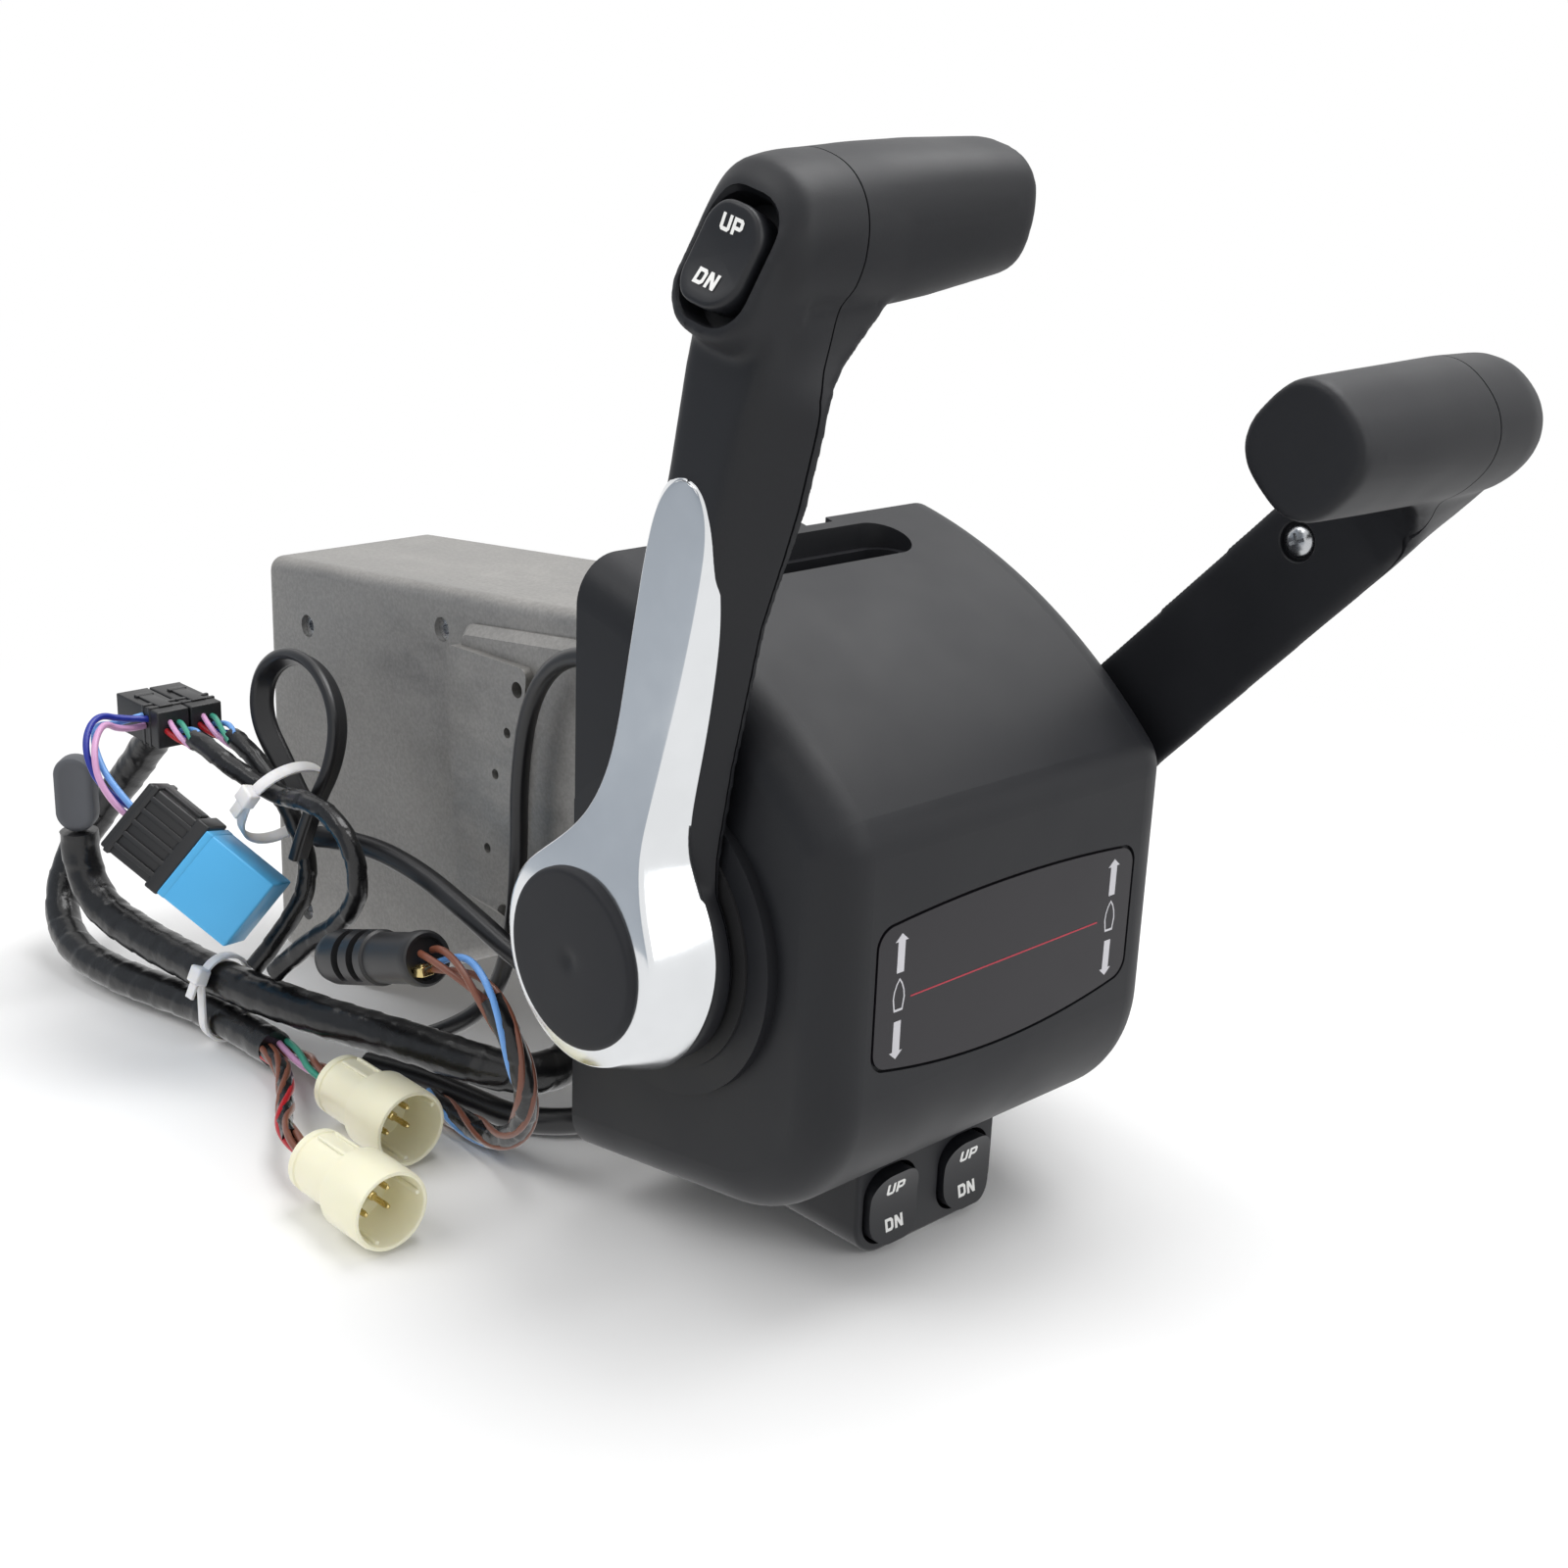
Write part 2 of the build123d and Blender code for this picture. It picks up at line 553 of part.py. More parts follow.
clamp_places = ((-CASE_DEPTH + 4 * CLAMP_R, CASE_TOP_END - 3 * CLAMP_R),
                (-PAD_FAR - 2 * CLAMP_R, CASE_TOP_END - CLAMP_R / 2),
                (-CASE_DEPTH + 3 * CLAMP_R, -PIVOT_Z + 3 * CLAMP_R), (-CASE_NECK, CASE_BELLY + 2 * CLAMP_R),
                (NOSE_BEND + CLAMP_R, -NOSE_TIP + CLAMP_R / 2))
with BuildPart() as port_case:
    with BuildSketch(SIDE):
        add(case_outline(0))
    extrude(amount=CASE_HALF)
    fillet(faces().sort_by(Axis.Y)[0].edges(), CASE_EDGE)
    with BuildSketch(SIDE):
        with BuildLine():
            Polyline((-PAD_NEAR, PAD_TOP), (-PAD_NEAR, PAD_BOTTOM), (-PAD_FAR, PAD_BOTTOM + 2 * PAD_CORNER),
                     (-PAD_FAR, PAD_TOP - 4 * PAD_CORNER), close=True)
        make_face()
        fillet(vertices(), 2 * PAD_CORNER)
    extrude(amount=PAD_HALF)
    chamfer(faces().sort_by(Axis.Y)[0].edges(), PAD_CORNER)
    with BuildSketch(SIDE):
        with BuildLine():
            Polyline(*BOSS_PLATE, close=True)
        make_face()
        fillet(vertices(), PAD_CORNER)
    extrude(amount=PLATE_OUT)
    with BuildSketch(BASE.offset(FLANGE_START)):
        with Locations((-FLANGE_HALF / 2, 0)):
            Rectangle(FLANGE_HALF, 2 * FLANGE_TOP)
        with Locations((-FLANGE_BOLT_Y, -FLANGE_BOLT_Z), (-FLANGE_BOLT_Y, FLANGE_BOLT_Z)):
            Circle(SCREW_R + SCREW_GAP, mode=Mode.SUBTRACT)
    extrude(amount=FLANGE)
    with BuildSketch(SIDE):
        add(case_outline(CASE_WALL))
        with Locations(*clamp_places):
            Circle(CLAMP_R, mode=Mode.SUBTRACT)
    extrude(amount=CASE_HALF - CASE_WALL, mode=Mode.SUBTRACT)
    with BuildSketch(SIDE):
        with Locations((PIVOT_X, 0)):
            Circle(SHAFT_R + BORE_GAP + BUSH_WALL)
    extrude(amount=PAD_HALF, mode=Mode.SUBTRACT)
    with BuildSketch(SIDE):
        with Locations((OUTPUT_X, 0)):
            Circle(OUTPUT_SHAFT_R + BORE_GAP)
    extrude(amount=OUTPUT_SHAFT_OUT + FIT, mode=Mode.SUBTRACT)
    with Locations(SIDE.offset(PLATE_OUT)):
        with Locations(THREAD_PLACE):
            Hole(THREAD_R, depth=THREAD_DEPTH)
        with Locations(*SMALL_THREAD_PLACES):
            Hole(SMALL_THREAD_R, depth=THREAD_DEPTH)
    with Locations(SIDE.offset(CASE_HALF)):
        with Locations(*clamp_places):
            CounterBoreHole(SCREW_R + SCREW_GAP, SCREW_HEAD + SCREW_GAP, SCREW_HEAD, depth=CASE_HALF)
save(port_case, "port_case")

with BuildPart() as starboard_case:
    mirror(port_case.part, about=Plane.XZ)
save(starboard_case, "starboard_case")


# ---- bushes, seals and screws on the fixed part ----
for side, name in ((PORT, "port"), (STARBOARD, "starboard")):
    with BuildPart() as bush:
        with BuildSketch(lever_plane(side, 0, CASE_HALF - CASE_WALL)):
            Circle(SHAFT_R + BORE_GAP + BUSH_WALL)
        extrude(amount=CASE_WALL + BUSH_FLANGE)
        with BuildSketch(lever_plane(side, 0, CASE_HALF)):
            Circle(SHAFT_R + BORE_GAP + 2 * BUSH_WALL)
        extrude(amount=BUSH_FLANGE)
        with BuildSketch(lever_plane(side, 0, CASE_HALF - CASE_WALL)):
            Circle(SHAFT_R + BORE_GAP)
        extrude(amount=CASE_WALL + BUSH_FLANGE, mode=Mode.SUBTRACT)
    save(bush, f"{name}_bush")
    with BuildPart() as seal:
        with BuildSketch(lever_plane(side, 0, HUB_BOSS_OUT)):
            Circle(SEAL_R)
            Circle(SEAL_IN_R, mode=Mode.SUBTRACT)
        extrude(amount=SEAL_OUT - HUB_BOSS_OUT)
    save(seal, f"{name}_hub_seal")

with BuildPart() as case_screws:
    with BuildSketch(SIDE.offset(CASE_HALF - SCREW_HEAD)):
        with Locations(*clamp_places):
            Circle(SCREW_HEAD)
            RegularPolygon(SCREW_R, 6, mode=Mode.SUBTRACT)
    extrude(amount=SCREW_R)
    with BuildSketch(SIDE.offset(CASE_HALF - SCREW_HEAD)):
        with Locations(*clamp_places):
            Circle(SCREW_R)
    extrude(amount=-2 * CASE_HALF + 2 * SCREW_HEAD)
save(case_screws, "case_screws")

with BuildPart() as flange_screws:
    for reach, radius in ((SCREW_HEAD - SCREW_R, SCREW_HEAD), (-FLANGE - PLATE, SMALL_THREAD_R)):
        with BuildSketch(BASE.offset(FLANGE_START + FLANGE)):
            with GridLocations(2 * FLANGE_BOLT_Y, 2 * FLANGE_BOLT_Z, 2, 2):
                Circle(radius)
        extrude(amount=reach)
save(flange_screws, "flange_screws")


# ---- levers ----
def head_face(side, angle):
    """Bezel plane of the rocker in a lever head: local X across the arm, local Y along it."""
    start = edge_plane(side, angle, HEAD_ROCKER_S)
    lean = radians(HEAD_ROCKER_TILT)
    normal = start.y_dir * cos(lean) + start.x_dir * sin(lean)
    return Plane(origin=start.origin + start.y_dir * HEAD_ROCKER_OUT, x_dir=start.z_dir, z_dir=normal)


def lever_form(side, angle, with_rocker):
    """Arm, hub, head and grip of one lever as a single form, before it is split into pieces."""
    with BuildPart() as form:
        for s, inner_half, outer_half, out in ARM_STATIONS:
            with BuildSketch(across_plane(side, angle, s)):
                with BuildLine():
                    Polyline((-inner_half, LEVER_IN), (inner_half, LEVER_IN), (outer_half, out),
                             (-outer_half, out), close=True)
                make_face()
                fillet(vertices().sort_by(Axis.Y)[2:], ARM_CORNER)
        loft()
        for s, radius, start, out, edge in ((0, HUB_R, HUB_IN, HUB_OUT, HUB_EDGE),
                                            (LEVER_LENGTH, HEAD_R, HEAD_SPLIT, HEAD_OUT, HEAD_EDGE)):
            with BuildSketch(edge_plane(side, angle, s)):
                with Locations((radius / 2, (start + out) / 2)):
                    Rectangle(radius, out - start)
                fillet(vertices().sort_by_distance((radius, out))[0], edge)
            revolve(axis=turning_axis(side, angle, s))
        if with_rocker:
            with BuildSketch(head_face(side, angle)):
                RectangleRounded(ROCKER_WIDTH + 2 * ROCKER_GAP + 2 * BEZEL_WALL,
                                 HEAD_ROCKER_LENGTH + 2 * ROCKER_GAP + 2 * BEZEL_WALL,
                                 ROCKER_CORNER + ROCKER_GAP + BEZEL_WALL)
            extrude(amount=-BEZEL_DEPTH, taper=-BEZEL_TAPER)
    with BuildPart() as grip:
        for out, shift, length, width, corner in GRIP_STATIONS:
            with BuildSketch(lever_plane(side, angle, out, LEVER_LENGTH + shift)):
                RectangleRounded(length, width, corner)
        loft()
        end = faces().sort_by(Axis.Y)
        fillet((end[-1] if side == PORT else end[0]).edges(), GRIP_EDGE)
        add(form.part)
        with BuildSketch(lever_plane(side, angle, LEVER_IN)):
            Circle(HUB_RELIEF_R)
        extrude(amount=HUB_IN - LEVER_IN, mode=Mode.SUBTRACT)
    return grip.part


def seam_side(side, angle, outboard):
    """Everything on one side of the seam between arm and grip half."""
    shut = -SEAM / 2 if outboard else SEAM / 2
    end = HUB_OUT + LEVER_LENGTH if outboard else 0
    with BuildPart() as half:
        with BuildSketch(edge_plane(side, angle)):
            with BuildLine():
                Polyline((-LEVER_LENGTH, SPLIT + shut), (SPLIT_BEND, SPLIT + shut),
                         (SPLIT_END, HEAD_SPLIT + shut), (2 * LEVER_LENGTH, HEAD_SPLIT + shut),
                         (2 * LEVER_LENGTH, end), (-LEVER_LENGTH, end), close=True)
            make_face()
        extrude(amount=2 * HUB_R, both=True)
    return half.part


def trim_mask(side, angle, gap):
    """Outline of the trim, extruded outboard and grown by gap."""
    half = TRIM_HALF + gap
    shoulder = TRIM_SHOULDER + gap
    with BuildPart() as mask:
        with BuildSketch(lever_plane(side, angle, TRIM_FLOOR)):
            Circle(HUB_R + 1)
            with BuildLine():
                Polyline((0, -shoulder), (2 * TRIM_SHOULDER, -half), (TRIM_CENTRE, -half),
                         (TRIM_CENTRE, half), (2 * TRIM_SHOULDER, half), (0, shoulder), close=True)
            make_face()
            with Locations((TRIM_CENTRE, 0)):
                Ellipse(TRIM_REACH + gap, half)
        extrude(amount=HUB_OUT - TRIM_FLOOR + 1)
    return mask.part


def bore(side, angle, s, t, radius, start, end):
    """A round space parallel to the lever axis."""
    with BuildPart() as space:
        with BuildSketch(lever_plane(side, angle, start, s)):
            with Locations((0, side * t)):
                Circle(radius)
        extrude(amount=end - start)
    return space.part


for side, angle, name in ((PORT, PORT_ANGLE, "port"), (STARBOARD, STARBOARD_ANGLE, "starboard")):
    whole = lever_form(side, angle, side == PORT)
    shaft_space = bore(side, angle, 0, 0, SHAFT_R + BORE_GAP, 0, SHAFT_OUT)
    screw_space = bore(side, angle, SCREW_S, SCREW_T, SCREW_R + SCREW_GAP, LEVER_IN, ARM_OUT - WALL)

    with BuildPart() as grip:
        add(whole)
        add(seam_side(side, angle, True), mode=Mode.SUBTRACT)
        add(shaft_space, mode=Mode.SUBTRACT)
        add(screw_space, mode=Mode.SUBTRACT)
        add(bore(side, angle, SCREW_S, SCREW_T, SCREW_RECESS_R, 0, LEVER_IN + SCREW_RECESS),
            mode=Mode.SUBTRACT)
    save(grip, f"{name}_grip")

    with BuildPart() as arm:
        add(whole)
        add(seam_side(side, angle, False), mode=Mode.SUBTRACT)
        add(trim_mask(side, angle, SEAM), mode=Mode.SUBTRACT)
        add(shaft_space, mode=Mode.SUBTRACT)
        add(screw_space, mode=Mode.SUBTRACT)
        if side == PORT:
            add(rocker_recess(head_face(side, angle), HEAD_ROCKER_LENGTH), mode=Mode.SUBTRACT)
    save(arm, f"{name}_arm")

    with BuildPart() as trim:
        add(whole)
        add(trim_mask(side, angle, 0), mode=Mode.INTERSECT)
        add(shaft_space, mode=Mode.SUBTRACT)
        add(bore(side, angle, 0, 0, HUB_BOLT_R + BUSH_WALL, SHAFT_OUT, HUB_OUT), mode=Mode.SUBTRACT)
        add(bore(side, angle, 0, 0, CAP_R + SEAM, HUB_OUT - CAP_DEPTH, HUB_OUT), mode=Mode.SUBTRACT)
    save(trim, f"{name}_trim")

    with BuildPart() as cap:
        with BuildSketch(edge_plane(side, angle)):
            with Locations((CAP_R / 2, (HUB_OUT - CAP_DEPTH + CAP_OUT) / 2)):
                Rectangle(CAP_R, CAP_OUT - HUB_OUT + CAP_DEPTH)
            fillet(vertices().sort_by_distance((CAP_R, CAP_OUT))[0], CAP_EDGE)
            with Locations((0, CAP_OUT)):
                Circle(DIMPLE_R, mode=Mode.SUBTRACT)
            with Locations((-CAP_R / 2, CAP_OUT)):
                Rectangle(CAP_R, 2 * CAP_DEPTH, mode=Mode.SUBTRACT)
        revolve(axis=turning_axis(side, angle, 0))
    save(cap, f"{name}_hub_cap")

    with BuildPart() as shaft:
        with BuildSketch(lever_plane(side, angle, SHAFT_IN)):
            Circle(SHAFT_R)
        extrude(amount=SHAFT_OUT - SHAFT_IN)
    save(shaft, f"{name}_shaft")

    with BuildPart() as hub_bolt:
        with BuildSketch(lever_plane(side, angle, SHAFT_OUT)):
            RegularPolygon(HUB_BOLT_R, 6)
        extrude(amount=HUB_BOLT_HEAD)
    save(hub_bolt, f"{name}_hub_bolt")

    with BuildPart() as lever_screw:
        with BuildSketch(lever_plane(side, angle, LEVER_IN + SCREW_RECESS, SCREW_S)):
            with Locations((0, side * SCREW_T)):
                Circle(SCREW_HEAD)
        extrude(amount=-SCREW_R)
        with BuildSketch(lever_plane(side, angle, LEVER_IN + SCREW_RECESS, SCREW_S)):
            with Locations((0, side * SCREW_T)):
                Circle(SCREW_R)
        extrude(amount=ARM_OUT - LEVER_IN - SCREW_RECESS - WALL)
    save(lever_screw, f"{name}_lever_screw")

save(rocker(head_face(PORT, PORT_ANGLE), HEAD_ROCKER_LENGTH), "grip_rocker")


# ---- gears and throttle arms ----
def gear(plane, teeth, bore_r, start):
    """Involute spur gear, one tooth centred start degrees from local X."""
    pitch_r = MODULE * teeth / 2
    base_r = pitch_r * cos(radians(PRESSURE))
    root_r = pitch_r - 1.25 * MODULE
    tip_r = pitch_r + MODULE
    rolled = tan(radians(PRESSURE)) - radians(PRESSURE)
    half = pi / (2 * teeth) - BACKLASH / (2 * pitch_r) + rolled

    def flank(radius):
        away = sqrt(max((radius / base_r) ** 2 - 1, 0))
        lean = half - (away - atan2(away, 1))
        return Vector(radius * cos(lean), radius * sin(lean))

    def across(point):
        return Vector(point.X, -point.Y)

    foot = flank(max(base_r, root_r))
    middle = flank((pitch_r + base_r) / 2)
    tip = flank(tip_r)
    with BuildSketch() as tooth:
        with BuildLine():
            Polyline(across(foot), Vector(root_r - MODULE, across(foot).Y),
                     Vector(root_r - MODULE, foot.Y), foot)
            ThreePointArc(foot, middle, tip)
            Line(tip, across(tip))
            ThreePointArc(across(tip), across(middle), across(foot))
        make_face()
    with BuildPart() as wheel:
        with BuildSketch(plane):
            Circle(root_r)
            with PolarLocations(0, teeth, start_angle=start):
                add(tooth.sketch)
            Circle(bore_r, mode=Mode.SUBTRACT)
        extrude(amount=GEAR_WIDTH)
    return wheel


for side, angle, name in ((PORT, PORT_ANGLE, "port"), (STARBOARD, STARBOARD_ANGLE, "starboard")):
    drive = gear(lever_plane(side, 0, GEAR_Y - GEAR_WIDTH / 2), DRIVE_TEETH, SHAFT_R, 0)
    save(drive, f"{name}_drive_gear")
    output_plane = lever_plane(side, 0, GEAR_Y - GEAR_WIDTH / 2, OUTPUT_X - PIVOT_X)
    output = gear(output_plane, OUTPUT_TEETH, OUTPUT_SHAFT_R, 180 / OUTPUT_TEETH)
    save(output, f"{name}_output_gear")

    with BuildPart() as output_shaft:
        with BuildSketch(lever_plane(side, 0, SHAFT_IN, OUTPUT_X - PIVOT_X)):
            Circle(OUTPUT_SHAFT_R)
        extrude(amount=OUTPUT_SHAFT_OUT - SHAFT_IN)
    save(output_shaft, f"{name}_output_shaft")

    reach_angle = OUTPUT_REST + (PORT_ANGLE - angle) * DRIVE_TEETH / OUTPUT_TEETH
    reach = lever_plane(side, reach_angle, 0)
    arm_out = ARM_Y - ARM_THICK - GEAR_Y + GEAR_WIDTH / 2
    arm_plane = Plane(origin=output_plane.origin + Vector(0, side * arm_out, 0),
                      x_dir=reach.x_dir, z_dir=reach.z_dir)
    with BuildPart() as throttle_arm:
        with BuildSketch(arm_plane):
            Circle(ARM_HUB_R)
            with Locations((ARM_REACH, 0)):
                Circle(ARM_END_R)
            make_hull()
            Circle(OUTPUT_SHAFT_R, mode=Mode.SUBTRACT)
            with Locations((ARM_REACH, 0)):
                Circle(CABLE_PIN_R, mode=Mode.SUBTRACT)
        extrude(amount=ARM_THICK)
    save(throttle_arm, f"{name}_throttle_arm")


# ---- harness ----
def place(x, y, z):
    """Point given from the console plane, the centre plane and the lever axis."""
    return Vector(MOUNT_X + x, y, PIVOT_Z + z)


def cord(route, radius, name):
    """Round cord along straight runs joined by arcs as large as the runs allow."""
    corners = [place(*point) for point in route]
    bends = []
    for before, corner, after in zip(corners, corners[1:], corners[2:]):
        run = min((corner - before).length, (after - corner).length)
        turn = radians((corner - before).get_angle(after - corner))
        bends.append(0.45 * run / tan(turn / 2))
    with BuildPart() as tube:
        with BuildLine() as line:
            FilletPolyline(*corners, radius=bends)
        with BuildSketch(Plane(origin=corners[0], z_dir=corners[1] - corners[0])):
            Circle(radius)
        sweep()
    length = sum(edge.length for edge in line.edges())
    print(name, "length", round(length), "volume", round(tube.part.volume / (pi * radius ** 2 * length), 4),
          "radii", [round(bend) for bend in bends])
    save(tube, name)


MAIN_LOOM = [(-236, -100, -43.7), (-236, -100, -58), (-223, -99, -69.5), (-201, -96, -73), (-172, -92, -75),
             (-142, -88, -75), (-110, -80, -75), (-82, -70, -75), (-58, -62, -76), (-45, -50, -79),
             (-45, -36, -79), (-54, -25, -77), (-60, -20, -70), (-60, -20, -57)]
RETURN_LOOM = [(-128, -90, -88.9), (-150, -90, -88.9), (-178, -93, -88.9), (-207, -101, -88.9),
               (-235, -104, -88), (-256, -100, -82), (-266, -91, -67), (-261, -81, -49), (-247, -75, -32),
               (-233, -72, -15), (-223, -70.5, -5)]
TRIM_LEAD = [(0, LEAD_Y, LEAD_Z), (-20, LEAD_Y, LEAD_Z), (-39, -46.5, 54), (-52, -46, 38),
             (-57, -46, 14), (-57, -46, -12), (-59, -46.5, -36), (-64, -48, -56), (-76, -51, -72),
             (-94, -56, -82)]
SUPPLY_CABLE = [(0, SUPPLY_Y, SUPPLY_Z), (-24, SUPPLY_Y, SUPPLY_Z), (-47, -54, -39), (-70, -56, -31),
                (-94, -57, -25), (-118, -61, -22), (-138, -65, -25)]
SWITCH_CABLE = [(0, SWITCH_LEAD_Y, SWITCH_LEAD_Z), (-14, SWITCH_LEAD_Y, SWITCH_LEAD_Z),
                (-27, -27, -91.5), (-34, -43, -92.5), (-46, -55, -92.5), (-66, -58, -92.5), (-88, -62, -92.5),
                (-106, -70, -92.5)]
LOOP_CABLE = [(-133, -76, -28), (-129, -73.1, -12), (-123, -68, 4), (-124, -65, 20), (-137, -63, 31),
              (-157, -62, 32), (-172, -63, 22), (-172, -65, 7), (-161, -64, -6), (-152, -62.6, -18)]
BRANCH_LOOM = [(-191, -86, 2), (-174, -86, 2), (-157, -83, -4), (-140, -78, -9), (-122, -79, -5),
               (-106, -79, -6), (-96, -78, -16), (-97, -77, -31), (-108, -78, -43), (-121, -81, -52),
               (-133, -85.8, -65.1)]
FEEDER_LOOM = [(-191, -74, 2), (-174, -74, 2), (-158, -73, -5), (-146, -70, -18), (-141, -67, -34),
               (-142, -70, -50), (-148.3, -84.4, -69)]
RELAY_LEAD = [(-171, -112, -16), (-179.4, -117.3, -9.2), (-188, -117, 2), (-196, -110, 8), (-199, -101, 4),
              (-199, -92, 4)]
BARREL_LEAD = [(-50, -84, -32.3), (-37, -84, -28), (-23, -83, -33), (-14, -80, -47), (-13, -76, -63),
               (-20, -72, -79), (-34, -70, -90), (-53, -68.5, -92.5), (-74, -67.95, -92.5)]
UPPER_LEAD = [(-128, -86.9, -88.9), (-114, -86.9, -88.9), (-99, -92.3, -84), (-86, -92.3, -84)]
LOWER_LEAD = [(-128, -93.1, -88.9), (-117, -93.1, -88.9), (-93, -107, -88.5), (-68, -123.2, -84),
              (-50, -123.2, -84)]

for route, radius, name in ((MAIN_LOOM, LOOM_R, "main_loom"), (RETURN_LOOM, RETURN_R, "return_loom"),
                            (TRIM_LEAD, LEAD_R, "trim_lead"), (SUPPLY_CABLE, SUPPLY_R, "supply_cable"),
                            (SWITCH_CABLE, SWITCH_LEAD_R, "switch_cable"), (LOOP_CABLE, LOOP_R, "loop_cable"),
                            (BRANCH_LOOM, BRANCH_R, "branch_loom"), (FEEDER_LOOM, BRANCH_R, "feeder_loom"),
                            (RELAY_LEAD, RELAY_LEAD_R, "relay_lead"),
                            (BARREL_LEAD, BARREL_LEAD_R, "barrel_lead"),
                            (UPPER_LEAD, LEAD_PAIR_R, "upper_lead"), (LOWER_LEAD, LEAD_PAIR_R, "lower_lead")):
    cord(route, radius, name)

with BuildPart() as grommets:
    for y, z, radius in LEAD_EXITS:
        with BuildSketch(BASE):
            with Locations((y, z)):
                Circle(radius + GROMMET_LIP - SEAM)
        extrude(amount=PLATE)
        with BuildSketch(BASE):
            with Locations((y, z)):
                Circle(radius + 2 * GROMMET_LIP - SEAM)
        extrude(amount=GROMMET_SINK)
    with BuildSketch(Plane(origin=place(*MAIN_LOOM[-1]))):
        Circle(LOOM_R + GROMMET_LIP)
    extrude(amount=CASE_BELLY - MAIN_LOOM[-1][2])
save(grommets, "grommets")


def connector(back, name):
    """Round cream connector lying along X, its cup open outboard of the console."""
    start = Plane(origin=place(*back), x_dir=(0, 1, 0), z_dir=(1, 0, 0))
    with BuildPart() as shell:
        with BuildSketch(start):
            Circle(CONNECTOR_NECK_R)
        extrude(amount=CONNECTOR_LENGTH - CONNECTOR_CUP)
        with BuildSketch(start.offset(CONNECTOR_LENGTH - CONNECTOR_CUP - CONNECTOR_WALL)):
            Circle(CONNECTOR_R)
        extrude(amount=CONNECTOR_CUP + CONNECTOR_WALL)
        with BuildSketch(start.offset(CONNECTOR_LENGTH)):
            Circle(CONNECTOR_R - CONNECTOR_WALL)
        extrude(amount=-CONNECTOR_CUP, mode=Mode.SUBTRACT)
    save(shell, name)


connector(UPPER_LEAD[-1], "connector_upper")
connector(LOWER_LEAD[-1], "connector_lower")

with BuildPart() as terminals:
    for back in (UPPER_LEAD[-1], LOWER_LEAD[-1]):
        floor = Plane(origin=place(*back), x_dir=(0, 1, 0), z_dir=(1, 0, 0))
        with BuildSketch(floor.offset(CONNECTOR_LENGTH - CONNECTOR_CUP)):
            with GridLocations(TERMINAL_ACROSS, TERMINAL_UP, 2, 2):
                Circle(TERMINAL_R)
        extrude(amount=TERMINAL_LENGTH)
save(terminals, "terminals")

relay_axis = (place(*RELAY_LEAD[0]) - place(*RELAY_LEAD[1])).normalized()
relay_side = Vector(*RELAY_LEAN).normalized()
relay_start = place(*RELAY_LEAD[0]) + relay_axis * SOCKET_LENGTH
with BuildPart() as relay_socket:
    with BuildSketch(Plane(origin=place(*RELAY_LEAD[0]), x_dir=relay_side, z_dir=relay_axis)):
        RectangleRounded(SOCKET_SIDE, SOCKET_DEPTH, SOCKET_CORNER)
    extrude(amount=SOCKET_LENGTH)
save(relay_socket, "relay_socket")

with BuildPart() as relay:
    with BuildSketch(Plane(origin=relay_start, x_dir=relay_side, z_dir=relay_axis)):
        RectangleRounded(RELAY_SIDE, RELAY_SIDE, RELAY_CORNER)
    extrude(amount=RELAY_LENGTH)
save(relay, "relay")

barrel_end = place(*BARREL_LEAD[0])
barrel_axis = (place(*BARREL_LEAD[1]) - barrel_end).normalized()
with BuildPart() as barrel:
    with BuildSketch(Plane(origin=barrel_end, z_dir=-barrel_axis)):
        Circle(BARREL_R)
    extrude(amount=BARREL_LENGTH)
save(barrel, "barrel")

with BuildPart() as lead_connectors:
    for start in (BRANCH_LOOM[0], FEEDER_LOOM[0]):
        with BuildSketch(Plane(origin=place(*start), x_dir=(0, 1, 0), z_dir=(-1, 0, 0))):
            RectangleRounded(LEAD_CONNECTOR_WIDE, LEAD_CONNECTOR_TALL, LEAD_CONNECTOR_CORNER)
        extrude(amount=LEAD_CONNECTOR_LONG)
save(lead_connectors, "lead_connectors")

with BuildPart() as loom_cap:
    with BuildSketch(Plane(origin=place(*MAIN_LOOM[0]) + Vector(0, 0, CAP_RISE), x_dir=(0, 0, 1),
                           z_dir=CAP_FACING)):
        SlotOverall(CAP_LONG, CAP_WIDE)
    extrude(amount=CAP_THICK / 2, both=True)
save(loom_cap, "loom_cap")

with BuildPart() as zip_ties:
    for centre, normal, tall, wide in TIES:
        with BuildSketch(Plane(origin=place(*centre), x_dir=(normal[2], 0, -normal[0]), z_dir=normal)):
            SlotOverall(tall, wide)
            SlotOverall(tall - 2 * TIE, wide - 2 * TIE, mode=Mode.SUBTRACT)
        extrude(amount=TIE_WIDTH / 2, both=True)
save(zip_ties, "zip_ties")
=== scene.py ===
"""Twin-lever boat throttle control on its aft side, with its wiring harness."""
import math

import bmesh
import bpy
from bpy.props import FloatProperty, FloatVectorProperty, IntProperty, PointerProperty
from mathutils import Matrix, Vector, noise


